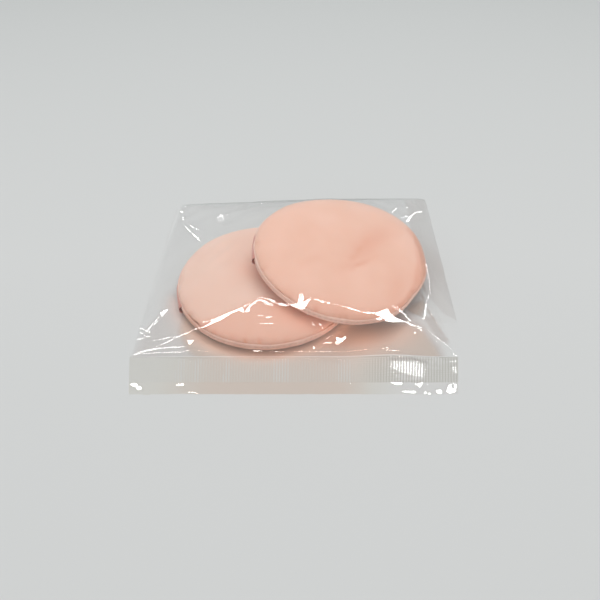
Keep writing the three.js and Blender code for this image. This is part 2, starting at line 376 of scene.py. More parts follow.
# where shade is painted on the faces, below the shoulder fold and down the upper puff's shaded right side, in
# pixels of the photograph: strength, fade and place
faceShadePatches = {
    "lower": [
        (0.5, 5, [
            (198, 325), (226, 316), (251, 305), (262, 300), (280, 305), (300, 308), (330, 322), (345, 331),
            (330, 345), (262, 352), (215, 346),
        ]),
    ],
    "upper": [
        (0.3, 4, [
            (311, 301), (342, 308.5), (363, 314), (388, 312), (400, 314), (385, 325), (340, 326), (318, 316),
        ]),
        (0.8, 4, [
            (408, 229), (416, 240), (419, 262), (415, 285), (405, 301), (396, 309), (420, 312), (436, 285),
            (436, 250), (424, 226),
        ]),
    ],
}
# the seam wrinkles, with how strongly shade is painted into them
wrinkle = {"depth": 0.3 * mm, "count": 120, "start": 0.6, "atSeam": 0.6, "paintedShade": 2.2}
swell = {
    "pressure": 4, "mass": 0.3, "shrink": -0.01, "quality": 5, "bending": 4, "tension": 15, "frames": 20,
    "cap": 1.4 * mm, "startHeight": 0.9,
}


def rimShape(puff, angle):
    oval = puff["oval"] * math.cos(2 * (angle - math.radians(puff["ovalDegrees"])))
    egg = puff["egg"] * math.cos(3 * (angle - math.radians(puff["eggDegrees"])))
    flat = 0
    for degrees, wide, deep in puff["flats"]:
        away = math.remainder(angle - math.radians(degrees), 2 * math.pi) / math.radians(wide)
        flat += deep * math.exp(-away ** 2)
    return puff["size"] * (1 + oval + egg - flat)


def discGrid(cells):
    bm = bmesh.new()
    bmesh.ops.create_grid(bm, x_segments=cells, y_segments=cells, size=1)
    return bm


def discPlace(x, y):
    # from the unit square to the unit disc: the ring it lies on, and its angle
    if abs(x) > abs(y):
        return abs(x), math.pi / 4 * (y / x) + (math.pi if x < 0 else 0)
    if y != 0:
        return abs(y), math.pi / 2 - math.pi / 4 * (x / y) + (math.pi if y < 0 else 0)
    return 0.0, 0.0


def quarterPlace(ring, radius, rise, planPower, risePower):
    turn = ring * math.pi / 2
    out = math.sin(turn) ** (2 / planPower) if ring > 0 else 0
    up = max(math.cos(turn), 0) ** (2 / risePower) if ring < 1 else 0
    return radius * out, rise * up


def seamWrinkle(puff, ring, angle):
    full = puffShape["tuckRing"]
    reach = smoothStep(wrinkle["start"], full, ring) * (1 - wrinkle["atSeam"] * smoothStep(full, 1, ring))
    around = wrinkle["count"] / (2 * math.pi)
    ridge = ripple(math.cos(angle) * around, math.sin(angle) * around, puff["seed"])
    long = 0.5 + 0.5 * ripple(math.cos(angle) * 3, math.sin(angle) * 3, puff["seed"] + 5)
    return wrinkle["depth"] * reach * long * (ridge - 0.3 * abs(ridge))


def crownPlace(ring):
    # how far out and how high the face lies: over the crown, then tucked in at the seam
    shape = puffShape
    over = min(ring / shape["tuckRing"], 1)
    rise = (shape["crownHeight"] - shape["crownFoot"]) * swell["startHeight"]
    out, up = quarterPlace(over, shape["crownRadius"], rise, shape["crownPlanPower"], shape["crownRisePower"])
    tuck = max(ring - shape["tuckRing"], 0) / (1 - shape["tuckRing"])
    return out - shape["tuckIn"] * tuck ** 1.5, shape["crownFoot"] + up - shape["tuckDown"] * tuck


def swellCover(piece):
    # the filling presses the cloth out, and the seam holds its rim
    start = [vertex.co.copy() for vertex in piece.data.vertices]
    bm = bmesh.new()
    bm.from_mesh(piece.data)
    rim = [vertex.index for vertex in bm.verts if vertex.is_boundary]
    bm.free()
    piece.vertex_groups.new(name="seam").add(rim, 1, "REPLACE")
    cloth = piece.modifiers.new("swell", "CLOTH")
    cloth.settings.quality = swell["quality"]
    cloth.settings.mass = swell["mass"]
    cloth.settings.tension_stiffness = swell["tension"]
    cloth.settings.compression_stiffness = swell["tension"]
    cloth.settings.bending_stiffness = swell["bending"]
    cloth.settings.use_pressure = True
    cloth.settings.uniform_pressure_force = swell["pressure"]
    cloth.settings.shrink_min = swell["shrink"]
    cloth.settings.vertex_group_mass = "seam"
    cloth.settings.effector_weights.gravity = 0
    cloth.point_cache.frame_start = 1
    cloth.point_cache.frame_end = swell["frames"]
    for frameNumber in range(1, swell["frames"] + 1):
        scene.frame_set(frameNumber)
    shown = piece.evaluated_get(bpy.context.evaluated_depsgraph_get())
    swollen = [vertex.co.copy() for vertex in shown.data.vertices]
    piece.modifiers.remove(cloth)
    piece.vertex_groups.clear()
    for vertex, before, after in zip(piece.data.vertices, start, swollen):
        moved = after - before
        if moved.length > swell["cap"]:
            moved *= swell["cap"] / moved.length
        vertex.co = before + moved
    scene.frame_set(1)


def creaseLine(place, pixels):
    # a line of the photograph on the crown, in the puff's own frame
    back = place.inverted()
    eye = back @ photoCamera.location
    line = []
    for pixel in pixels:
        ray = back.to_3x3() @ sight(*pixel)
        line.append((eye + ray * ((puffShape["creaseLevel"] - eye.z) / ray.z)).xy)
    return line


def creaseDepth(creases, x, y):
    dent = 0
    for depth, half, line in creases:
        away, along = nearLine(x, y, line)
        ends = math.sin(math.pi * min(max(along, 0.08), 0.92))
        dent += depth * mm * math.exp(-(away / (half * mm)) ** 2) * ends
    return dent


def makeFaceCover(prefix, place):
    puff = puffs[prefix]
    shape = puffShape
    creases = [(depth, half, creaseLine(place, seen)) for depth, half, seen in puff["creases"]]
    bm = discGrid(shape["cells"])
    paintedShade = []
    for vertex in bm.verts:
        ring, angle = discPlace(vertex.co.x, vertex.co.y)
        out, up = crownPlace(ring)
        out *= rimShape(puff, angle)
        wide = out / shape["waveSize"]
        soft = shape["waveHigh"] * ripple(wide * math.cos(angle), wide * math.sin(angle), puff["seed"])
        fold = seamWrinkle(puff, ring, angle)
        out += fold
        x, y = out * math.cos(angle), out * math.sin(angle)
        dent = creaseDepth(creases, x, y)
        # painted shade: the cloth darkens in the creases and seam wrinkles, by how deep they are
        paintedShade.append(dent / shape["fullShadeDepth"] + wrinkle["paintedShade"] * max(-fold / wrinkle["depth"], 0))
        vertex.co = Vector((x, y, up + soft * (1 - ring) + 0.6 * fold - dent))
    piece = makePiece(prefix + "FaceCover", bm, velours[prefix])
    swellCover(piece)
    piece.data.transform(place)
    # painted shade: also below the shoulder fold and down the upper puff's shaded right side
    paintedShade = [share + patchShade(vertex.co, faceShadePatches[prefix]) for share, vertex in zip(paintedShade, piece.data.vertices)]
    paint(piece, "clothShade", paintedShade)
    thicken(piece, shape["faceThickness"], -1)
    subdivide(piece, 1)
    standFor(piece, prefix + "_face_cover")
    return piece


def makeBackCover(prefix, place):
    puff = puffs[prefix]
    shape = puffShape
    bm = discGrid(shape["cells"] // 2)
    for vertex in bm.verts:
        ring, angle = discPlace(vertex.co.x, vertex.co.y)
        out, up = quarterPlace(
            ring, shape["backRadius"], shape["backDepth"], shape["backPlanPower"], shape["backRisePower"],
        )
        out *= rimShape(puff, angle)
        vertex.co = Vector((out * math.cos(angle), out * math.sin(angle), -up - shape["backGap"]))
    bmesh.ops.reverse_faces(bm, faces=bm.faces)
    bm.transform(place)
    piece = makePiece(prefix + "BackCover", bm, backCloth)
    thicken(piece, shape["backThickness"], -1)
    subdivide(piece, 1)
    standFor(piece, prefix + "_back_cover")
    return piece


def spunRing(profile, steps, closed=False):
    # a profile of places out and up, turned once round the middle
    bm = bmesh.new()
    corners = [bm.verts.new((out, 0, up)) for out, up in profile]
    after = corners[1:] + corners[:1] if closed else corners[1:]
    edges = [bm.edges.new(pair) for pair in zip(corners, after)]
    bmesh.ops.spin(
        bm, geom=corners + edges, cent=(0, 0, 0), axis=(0, 0, 1), angle=2 * math.pi, steps=steps,
        use_merge=True,
    )
    bmesh.ops.remove_doubles(bm, verts=bm.verts, dist=0.01 * mm)
    return bm


def makeFoamCore(prefix, place):
    puff = puffs[prefix]
    shape = puffShape
    rings = [step / shape["coreSteps"] for step in range(shape["coreSteps"] + 1)]
    sides = (("crown", "crownHeight", 1, rings), ("back", "backDepth", -1, rings[-2::-1]))
    profile = []
    for side, high, sign, shares in sides:
        for ring in shares:
            out, up = quarterPlace(
                ring, shape["backRadius"] - shape["coreInside"], shape[high] - shape["coreInside"],
                shape[side + "PlanPower"], shape[side + "RisePower"],
            )
            profile.append((out, sign * up))
    bm = spunRing(profile, shape["coreTurns"])
    for vertex in bm.verts:
        angle = math.atan2(vertex.co.y, vertex.co.x)
        size = rimShape(puff, angle)
        vertex.co.x *= size
        vertex.co.y *= size
    bm.transform(place)
    piece = makePiece(prefix + "FoamCore", bm, sponge, closed=True)
    subdivide(piece, 1)
    standFor(piece, prefix + "_foam_core")
    return piece


binding = {
    "out": 38.95 * mm, "up": -0.15 * mm, "wide": 0.62 * mm, "high": 1.25 * mm, "square": 3.2, "steps": 288,
    "sectionSteps": 24, "groove": 0.13 * mm, "grooveUp": 0.35 * mm, "grooveWide": 0.22 * mm, "gathers": 144,
    "gather": 0.06 * mm, "uneven": 0.12 * mm, "sway": 0.15 * mm,
}


def bindingSection():
    # a flat roll of cloth round the seam, with the groove that its stitches pull
    points = []
    power = 2 / binding["square"]
    for step in range(binding["sectionSteps"]):
        turn = 2 * math.pi * step / binding["sectionSteps"]
        across = math.copysign(abs(math.cos(turn)) ** power, math.cos(turn))
        up = binding["high"] * math.copysign(abs(math.sin(turn)) ** power, math.sin(turn))
        dent = 0
        if across > 0:
            dent = binding["groove"] * math.exp(-((up - binding["grooveUp"]) / binding["grooveWide"]) ** 2)
        points.append((binding["out"] + binding["wide"] * across - dent, binding["up"] + up))
    return points


def makeBinding(prefix, place):
    puff = puffs[prefix]
    bm = spunRing(bindingSection(), binding["steps"], closed=True)
    for vertex in bm.verts:
        angle = math.atan2(vertex.co.y, vertex.co.x)
        out = math.hypot(vertex.co.x, vertex.co.y) * rimShape(puff, angle)
        out += binding["gather"] * math.sin(angle * binding["gathers"])
        out += binding["uneven"] * ripple(math.cos(angle) * 12, math.sin(angle) * 12, puff["seed"])
        sway = binding["sway"] * ripple(math.cos(angle) * 6, math.sin(angle) * 6, puff["seed"] + 2)
        vertex.co = Vector((out * math.cos(angle), out * math.sin(angle), vertex.co.z + sway))
    bm.transform(place)
    piece = makePiece(prefix + "EdgeBinding", bm, bindingCloth, closed=True)
    subdivide(piece, 1)
    standFor(piece, prefix + "_edge_binding")
    return piece


stitch = {
    "count": 112, "out": 39.5 * mm, "up": 0.2 * mm, "long": 1.5 * mm, "thick": 0.12 * mm, "leanDegrees": 14,
}


def makeStitches(prefix, place):
    puff = puffs[prefix]
    bm = bmesh.new()
    for index in range(stitch["count"]):
        angle = 2 * math.pi * index / stitch["count"]
        size = Matrix.Diagonal((stitch["thick"], stitch["long"] / 2, stitch["thick"], 1))
        lean = Matrix.Rotation(math.radians(stitch["leanDegrees"]), 4, "Z")
        spot = Matrix.Translation((stitch["out"] * rimShape(puff, angle), 0, stitch["up"]))
        turn = Matrix.Rotation(angle, 4, "Z")
        bmesh.ops.create_uvsphere(bm, u_segments=6, v_segments=6, radius=1, matrix=turn @ spot @ lean @ size)
    bm.transform(place)
    piece = makePiece(prefix + "SeamThread", bm, seamThread, closed=True)
    standFor(piece, prefix + "_seam_thread")
    return piece


# the ribbon's ends in mm out and up, from the seam round the binding; the front half of the left end stands
# off by the flare
ribbon = {
    "width": 15 * mm, "thickness": 0.25 * mm, "across": 12, "bow": 0.25 * mm, "flare": 1.0 * mm, "wrap": 7,
    "flatWithin": 37 * mm, "flatFrom": 37.5 * mm, "flatSteps": 12, "below": -3.05 * mm,
    "end": [
        (39.0, 0.95), (39.4, 0.9), (39.6, 0.4), (39.65, -0.5), (39.55, -1.6), (39.2, -2.4), (38.6, -2.9),
        (37.6, -3.05),
    ],
}


def ribbonLine():
    # the middle line on one side: out of the seam, round the binding and flat under the back
    steps = ribbon["flatSteps"]
    flat = [(ribbon["flatFrom"] * (1 - step / steps), ribbon["below"]) for step in range(1, steps + 1)]
    return [(out * mm, up * mm) for out, up in ribbon["end"]] + flat


def makeRibbon(prefix, place):
    puff = puffs[prefix]
    half = ribbonLine()
    line = [(-out, up) for out, up in half] + [(out, up) for out, up in reversed(half[3:-1])]
    bm = bmesh.new()
    bmesh.ops.create_grid(bm, x_segments=len(line) - 1, y_segments=ribbon["across"], size=1)
    for vertex in bm.verts:
        index = round((vertex.co.x + 1) / 2 * (len(line) - 1))
        out, up = line[index]
        side = vertex.co.y * ribbon["width"] / 2
        bow = ribbon["bow"] * ripple(out / (9 * mm), side / (7 * mm), puff["seed"])
        if abs(out) > ribbon["flatWithin"]:
            bow = 0
            wide = math.sqrt(out ** 2 - side ** 2)
            if out < 0:
                front = 0.5 - side / ribbon["width"]
                wide += ribbon["flare"] * front ** 3 * math.sin(math.pi * min(index / ribbon["wrap"], 1))
            out = math.copysign(wide, out) * rimShape(puff, math.pi if out < 0 else 0)
        vertex.co = Vector((out, side, up + bow))
    bm.transform(place @ Matrix.Rotation(math.radians(puff["ribbonDegrees"]), 4, "Z"))
    piece = makePiece(prefix + "FingerRibbon", bm, satin)
    thicken(piece, ribbon["thickness"], 0)
    subdivide(piece, 2)
    standFor(piece, prefix + "_finger_ribbon")
    return piece


covers = []
for prefix in puffs:
    place = seamPlane(prefix)
    covers.append(makeFaceCover(prefix, place))
    makeFoamCore(prefix, place)
    makeBackCover(prefix, place)
    covers.append(makeBinding(prefix, place))
    makeStitches(prefix, place)
    covers.append(makeRibbon(prefix, place))
print("puffs made")


# Pouch

def planCorners(node):
    # the corners of a flat node's outline, going round its middle
    found = {(round(v.co.x, 6), round(v.co.y, 6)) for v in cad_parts[node].data.vertices}
    middle = Vector((sum(x for x, y in found), sum(y for x, y in found))) / len(found)
    return sorted(found, key=lambda corner: math.atan2(corner[1] - middle.y, corner[0] - middle.x))


def sideLine(corners, sign):
    return sorted((corner for corner in corners if corner[0] * sign > 0), key=lambda corner: corner[1])


def sideAt(line, y):
    return float(np.interp(y, [corner[1] for corner in line], [corner[0] for corner in line]))


filmCorners = planCorners("pouch_bottom_film")
leftLine = sideLine(filmCorners, -1)
rightLine = sideLine(filmCorners, 1)
filmFront = leftLine[0][1]
filmBack = leftLine[-1][1]

# the lifts are places along a side edge and their heights, in millimetres; beside its fold the film is crisp,
# fading between the two distances
pouch = {
    "step": 0.5 * mm, "cell": 1.1 * mm, "filmThickness": 0.06 * mm, "sealThickness": 0.08 * mm,
    "weldThickness": 0.2 * mm, "clear": 0.3 * mm, "overCloth": 0.12 * mm, "rounding": 4, "margin": 0.9 * mm,
    "edgeHeight": 0.35 * mm, "edgeInset": 0.5 * mm, "crisp": (1 * mm, 2 * mm),
    "leftLifts": [(-30, 1.5), (14, 2.2), (44, 1.2), (62, 1.0)],
    "rightLifts": [(-24, 2.0), (3, 2.5), (40, 3.0), (62, 3.0)],
    "notchY": -26.2 * mm, "notchIn": 8.4 * mm,
}
# the wavy back edge: pixels of the photograph, and its height in millimetres
backSeen = [
    (182, 207.4, 1.0), (190, 206.2, 1.1), (200, 206, 1.2), (218, 204.8, 1.3), (232, 205.4, 1.4),
    (246, 206.6, 1.4), (262, 205.6, 1.5), (290, 204, 1.7), (340, 202, 2.1), (379, 201.6, 2.4),
    (390, 202, 2.5), (398, 203, 2.6), (410, 201, 2.8), (418, 199.8, 2.9), (424.5, 198.8, 3.0),
]

# how the mouth of the pouch curls up off the table
mouthLift = {
    "place": (36 * mm, -44 * mm), "reach": (12 * mm, 6 * mm), "high": 1.2 * mm, "sway": 0.12 * mm,
    "swaySize": 13 * mm, "swayFrom": (-30 * mm, -45 * mm),
}


def mouthBase(x, y):
    across = (x - mouthLift["place"][0]) / mouthLift["reach"][0]
    along = (y - mouthLift["place"][1]) / mouthLift["reach"][1]
    sway = mouthLift["sway"] * ripple(x / mouthLift["swaySize"], 7) * smoothStep(*mouthLift["swayFrom"], y)
    return mouthLift["high"] * math.exp(-across ** 2 - along ** 2) + sway


def mouthWave(x, y):
    return mouthBase(x, y) + max([0] + [curlRise(curl, x, y) for curl in curls])


def coverShapes():
    # the corners and faces of the puffs' covers, as their modifiers leave them
    graph = bpy.context.evaluated_depsgraph_get()
    shapes = []
    for piece in covers:
        shown = piece.evaluated_get(graph)
        mesh = shown.to_mesh()
        shapes.append(([v.co.copy() for v in mesh.vertices], [list(p.vertices) for p in mesh.polygons]))
        shown.to_mesh_clear()
    return shapes


def coverPoints(clear):
    return [corner + Vector((0, 0, clear)) for corners, faces in coverShapes() for corner in corners[::3]]


def coverTree():
    corners, faces = [], []
    for ownCorners, ownFaces in coverShapes():
        faces += [[len(corners) + index for index in face] for face in ownFaces]
        corners += ownCorners
    return BVHTree.FromPolygons(corners, faces)


def seenOn(tree, pixel):
    return tree.ray_cast(photoCamera.location, sight(*pixel))[0]


def liftedOn(tree, pixel, lift):
    # the place in a pixel's line of sight that lies the given height over a surface
    ray = sight(*pixel)
    spot = seenOn(tree, pixel)
    for turn in range(12):
        spot = spot - ray * 0.7 * (lift - spot.z + heightOn(tree, spot.x, spot.y, 0))
    return spot


def seenOnTable(pixel, height):
    ray = sight(*pixel)
    return photoCamera.location + ray * ((height - photoCamera.location.z) / ray.z)


# the crisp fold that runs over the puffs' front shoulders, in pixels of the photograph,
# with how far it stands off the tight tent in millimetres
shoulderFold = [
    (200, 323, 0.8), (207.6, 321.4, 1.0), (216.8, 318, 1.2), (227, 313.6, 1.3), (240.3, 308.6, 1.5),
    (251.1, 302.8, 1.5), (257.5, 297.9, 1.5), (262, 297.3, 1.6), (272.5, 299.7, 2.0), (277.9, 304.4, 2.4),
    (292, 305, 2.6), (299, 305, 2.6), (304, 303, 2.5), (311.3, 297.6, 2.2), (320.5, 301.3, 2.0),
    (330.1, 303.4, 1.9), (342.3, 306, 1.9), (350, 308.4, 1.8), (363, 312.2, 1.7), (376, 313.2, 1.6),
    (382, 311, 1.5), (388, 308, 1.4), (397, 308.8, 1.4), (402.3, 312.6, 1.4), (407.4, 318.1, 1.4),
    (417, 326.2, 1.3),
]
backEdge = [seenOnTable((u, v), z * mm) for u, v, z in backSeen]


def backAt(x):
    return float(np.interp(x, [spot.x for spot in backEdge], [spot.y for spot in backEdge]))


def tentTree(supports):
    bm = bmesh.new()
    for point in coverPoints(pouch["clear"]) + supports:
        bm.verts.new(point)
    for x, y in leftLine[:-1] + rightLine[:-1]:
        bm.verts.new((x, y, pouch["edgeHeight"]))
    for y, z in pouch["leftLifts"]:
        bm.verts.new((sideAt(leftLine, y * mm), y * mm, z * mm))
    for y, z in pouch["rightLifts"]:
        bm.verts.new((sideAt(rightLine, y * mm), y * mm, z * mm))
    for spot in backEdge:
        bm.verts.new(spot)
    bmesh.ops.convex_hull(bm, input=bm.verts)
    tree = BVHTree.FromBMesh(bm)
    bm.free()
    return tree


down = Vector((0, 0, -1))


def heightOn(tree, x, y, otherwise):
    hit = tree.ray_cast(Vector((x, y, 1)), down)[0]
    return hit.z if hit else otherwise


def gridPlaces():
    step = pouch["step"]
    reach = max(corner[0] for corner in filmCorners) + 2 * step
    across = np.arange(-reach, reach + step, step)
    along = np.arange(filmFront - 2 * step, filmBack + 3 * step, step)
    return across, along


fieldX, fieldY = gridPlaces()


def softened(heights, turns):
    for turn in range(turns):
        wide = np.pad(heights, 1, mode="edge")
        heights = (4 * heights + wide[2:, 1:-1] + wide[:-2, 1:-1] + wide[1:-1, 2:] + wide[1:-1, :-2]) / 8
    return heights


def widened(heights):
    # each place takes the highest of its neighbours, so nothing shows through between two places
    wide = np.pad(heights, 1, mode="edge")
    rows, columns = heights.shape
    return np.max([wide[i:i + rows, j:j + columns] for i in range(3) for j in range(3)], axis=0)


def overField(measure):
    return np.array([[measure(x, y) for x in fieldX] for y in fieldY])


def makeHeights(tent, below):
    # the film's height over a fine grid: the tight tent, rounded at its bends, crumpled where it hangs free
    edge = pouch["edgeHeight"]
    tight = overField(lambda x, y: heightOn(tent, x, y, edge))
    cloth = overField(lambda x, y: heightOn(below, x, y, 0))
    free = np.clip((tight - cloth - crumple["from"]) / crumple["fullAfter"], 0, 1)
    free *= np.clip((tight - edge) / crumple["edgeFade"], 0, 1)
    loose = tight + free * overField(crumpleAt) + overField(mouthWave)
    return softened(np.maximum(loose, widened(cloth) + pouch["overCloth"]), pouch["rounding"])


crumple = {
    "high": 0.28 * mm, "size": 11 * mm, "fine": 0.05 * mm, "fineSize": 4 * mm, "from": 0.6 * mm,
    "fullAfter": 4 * mm, "edgeFade": 2 * mm,
}


def crumpleAt(x, y):
    broad = 0.5 - 2 * abs(ripple(x / crumple["size"], y / crumple["size"], 4))
    fine = ripple(x / crumple["fineSize"], y / crumple["fineSize"], 9)
    return crumple["high"] * broad + crumple["fine"] * fine


def heightAt(heights, x, y):
    column = min(max((x - fieldX[0]) / pouch["step"], 0), len(fieldX) - 1.001)
    row = min(max((y - fieldY[0]) / pouch["step"], 0), len(fieldY) - 1.001)
    i, j = int(row), int(column)
    p, q = row - i, column - j
    near = heights[i, j] * (1 - q) + heights[i, j + 1] * q
    far = heights[i + 1, j] * (1 - q) + heights[i + 1, j + 1] * q
    return near * (1 - p) + far * p


# Facets: small flat places tilted half-way between the glint lamp and the eye, so they shine as in the photo
facet = {
    "rim": 0.35 * mm, "thinEnds": 2.5 * mm, "lineStep": 0.7 * mm, "creaseStep": 0.6 * mm,
    "foldStep": 0.4 * mm, "reach": 0.4 * mm, "clear": 0.02 * mm, "steepest": 1.3, "gentle": 0.004,
    "sideSlope": 0.3, "slopes": (-0.2, 1.0), "gap": 0.05,
}


def lampMiss(spot, slopeX, slopeY):
    # how far from the lamp's line the mirrored sight of a slope ends, for arrays of slopes
    normal = np.stack([-slopeX, -slopeY, np.ones_like(slopeX)])
    normal = normal / np.linalg.norm(normal, axis=0)
    eye = np.array(photoCamera.location) - np.array(spot)
    eye = eye / np.linalg.norm(eye)
    mirrored = 2 * (normal * eye[:, None]).sum(axis=0) * normal - eye[:, None]
    rise = (lightSetup["glintPlace"][2] - spot[2]) / np.maximum(mirrored[2], 0.05)
    missY = np.abs(spot[1] + mirrored[1] * rise - lightSetup["glintPlace"][1])
    missX = np.abs(spot[0] + mirrored[0] * rise - lightSetup["glintPlace"][0])
    return missY + np.maximum(missX - lightSetup["glintSize"][0] / 2, 0)


def bestTilt(spot, slopeAlong, lineX, lineY):
    # the slope across a line that shines, where the slope along it is given
    tilts = np.linspace(-facet["steepest"], facet["steepest"], 261)
    slopeX = slopeAlong * lineX - tilts * lineY
    slopeY = slopeAlong * lineY + tilts * lineX
    miss = lampMiss(spot, slopeX, slopeY) + facet["gentle"] * np.abs(tilts)
    return float(tilts[int(np.argmin(miss))])


def resampled(points, spacing):
    points = np.array(points)
    lengths = np.concatenate([[0], np.cumsum(np.linalg.norm(np.diff(points, axis=0), axis=1))])
    count = max(int(lengths[-1] / spacing), 2) + 1
    steps = np.linspace(0, lengths[-1], count)
    return np.stack([np.interp(steps, lengths, points[:, axis]) for axis in (0, 1)], axis=1), steps


def boxedShape(inner, outer, tops):
    corners = np.concatenate([inner, outer])
    box = (*corners.min(axis=0).tolist(), *corners.max(axis=0).tolist())
    return {"inner": inner.tolist(), "outer": outer.tolist(), "tops": tops.tolist(), "box": box}


def lineShape(places, wide, ground):
    # a strip along a line, thin at its ends, with its shining tilt
    points, steps = resampled(places, facet["lineStep"])
    way = np.gradient(points, axis=0)
    way = way / np.linalg.norm(way, axis=1)[:, None]
    level = np.array([ground(x, y) for x, y in points])
    slopes = np.gradient(level, steps)
    slopes = np.convolve(np.pad(slopes, 2, mode="edge"), np.ones(5) / 5, mode="valid")
    across = np.stack([-way[:, 1], way[:, 0]], axis=1)
    tilt = np.array([bestTilt((*p, z), s, *w) for p, z, s, w in zip(points, level, slopes, way)])
    share = np.minimum(steps, steps[-1] - steps) / min(facet["thinEnds"], steps[-1] / 2)
    half = (wide / 2 * np.sqrt(np.clip(share, 0.02, 1)))[:, None]
    rim = half + facet["rim"]
    inner = np.concatenate([points + across * half, (points - across * half)[::-1]])
    outer = np.concatenate([points + across * rim, (points - across * rim)[::-1]])
    rise = tilt * half[:, 0]
    tops = np.concatenate([level + rise, (level - rise)[::-1]])
    return boxedShape(inner, outer, tops)


def facetShape(pixels, spot, ground):
    # a flat place with the tilt that shines, laid on the sheet so that it is seen in the given pixels
    reach = facet["reach"]
    slopeX = (ground(spot[0] + reach, spot[1]) - ground(spot[0] - reach, spot[1])) / (2 * reach)
    slopeX = min(max(slopeX, -facet["sideSlope"]), facet["sideSlope"])
    slopesY = np.linspace(*facet["slopes"], 241)
    miss = lampMiss(tuple(spot), np.full_like(slopesY, slopeX), slopesY)
    slopeY = float(slopesY[int(np.argmin(miss))])
    rays = np.array([sight(*pixel) for pixel in pixels])
    eye = np.array(photoCamera.location)
    level = spot[2]
    for turn in range(5):
        rise = level + slopeX * (eye[0] - spot[0]) + slopeY * (eye[1] - spot[1]) - eye[2]
        far = rise / (rays[:, 2] - slopeX * rays[:, 0] - slopeY * rays[:, 1])
        corners = eye + rays * far[:, None]
        middle = corners.mean(axis=0)
        tried = [middle + (corner - middle) * share for corner in corners for share in (0, 0.35, 0.7, 1)]
        level += max(ground(x, y) - z for x, y, z in tried) + facet["clear"]
    inner = corners[:, :2]
    hull = convex_hull_2d([Vector(corner) for corner in inner / mm])
    away = inner[hull] - middle[:2]
    size = np.linalg.norm(away, axis=1)[:, None]
    over = np.array([max(z - ground(x, y), 0) for x, y, z in corners[hull]])[:, None]
    outer = middle[:2] + away * (1 + (facet["rim"] + 0.6 * over) / size)
    shape = boxedShape(inner, outer, corners[:, 2])
    shape["plane"] = (slopeX, slopeY, float(corners[0][2] - slopeX * corners[0][0] - slopeY * corners[0][1]))
    return shape


def streakFacets(wide, seen, step):
    # a streak in pixels cut into short facets, for where the sheet falls away from the lamp along it
    spots = resampled(seen, step)[0]
    made = []
    for a, b in zip(spots, spots[1:]):
        way = (b - a) / np.linalg.norm(b - a)
        side = np.array((-way[1], way[0])) * wide / 2
        near, far = a + (b - a) * facet["gap"], a + (b - a) * (1 - facet["gap"])
        made.append([tuple(corner) for corner in (near + side, far + side, far - side, near - side)])
    return made


def inShape(x, y, shape, loop):
    # whether a place lies in a shape's inner or outer loop
    lowX, lowY, highX, highY = shape["box"]
    return lowX <= x <= highX and lowY <= y <= highY and insideLoop(x, y, shape[loop])


def creaseLines(points, shapes):
    # the stretches of a crease that no shape covers
    kept, run = [], []
    for x, y in resampled(points, facet["creaseStep"])[0].tolist():
        if any(inShape(x, y, shape, "outer") for shape in shapes):
            kept.append(run)
            run = []
        else:
            run.append((x, y))
    kept.append(run)
    return [run for run in kept if len(run) > 1]


def placeTree(places):
    tree = KDTree(len(places))
    for index, (x, y) in enumerate(places):
        tree.insert((x, y, 0), index)
    tree.balance()
    return tree


def shapedSheet(outline, shapes, creases, cell, ground):
    # a sheet inside the outline whose faces follow the shapes: even points elsewhere, joined by triangles
    points, tops, edges = [], [], []

    def addLoop(loop, heights):
        first = len(points)
        points.extend((x / mm, y / mm) for x, y in loop)
        tops.extend(heights)
        edges.extend((first + i, first + (i + 1) % len(loop)) for i in range(len(loop)))

    border = resampled(list(outline) + [outline[0]], cell)[0][:-1]
    addLoop(border, [None] * len(border))
    firstInner = len(edges)
    for shape in shapes:
        addLoop(shape["inner"], shape["tops"])
    for shape in shapes:
        for x, y in shape["outer"]:
            if not any(inShape(x, y, other, "inner") for other in shapes):
                points.append((x / mm, y / mm))
                tops.append(None)
    for line in creases:
        first = len(points)
        points.extend((x / mm, y / mm) for x, y in line)
        tops.extend([None] * len(line))
        edges.extend((first + i, first + i + 1) for i in range(len(line) - 1))
    kept = placeTree(points)
    low, high = np.min(outline, axis=0), np.max(outline, axis=0)
    for y in np.arange(low[1] + cell / 2, high[1], cell):
        for x in np.arange(low[0] + cell / 2, high[0], cell):
            if kept.find((x / mm, y / mm, 0))[2] < 0.5 * cell / mm:
                continue
            if any(inShape(x, y, shape, "outer") for shape in shapes):
                continue
            points.append((x / mm, y / mm))
            tops.append(None)
    joined = delaunay_2d_cdt([Vector(point) for point in points], edges, [], 1, 0.0005)
    corners, sides, faces, origins, kinds = joined[:5]
    bm = bmesh.new()
    for corner, origin in zip(corners, origins):
        given = [tops[index] for index in origin if index < len(tops) and tops[index] is not None]
        x, y = corner.x * mm, corner.y * mm
        bm.verts.new((x, y, given[0] if given else ground(x, y)))
    bm.verts.ensure_lookup_table()
    for face in faces:
        made = bm.faces.new([bm.verts[index] for index in face])
        x, y, z = made.calc_center_median()
        made.smooth = not any(inShape(x, y, shape, "inner") for shape in shapes)
        if made.normal.z < 0:
            made.normal_flip()
    for (a, b), kind in zip(sides, kinds):
        side = bm.edges.get((bm.verts[a], bm.verts[b]))
        if side and any(index >= firstInner for index in kind):
            side.smooth = False
    return bm


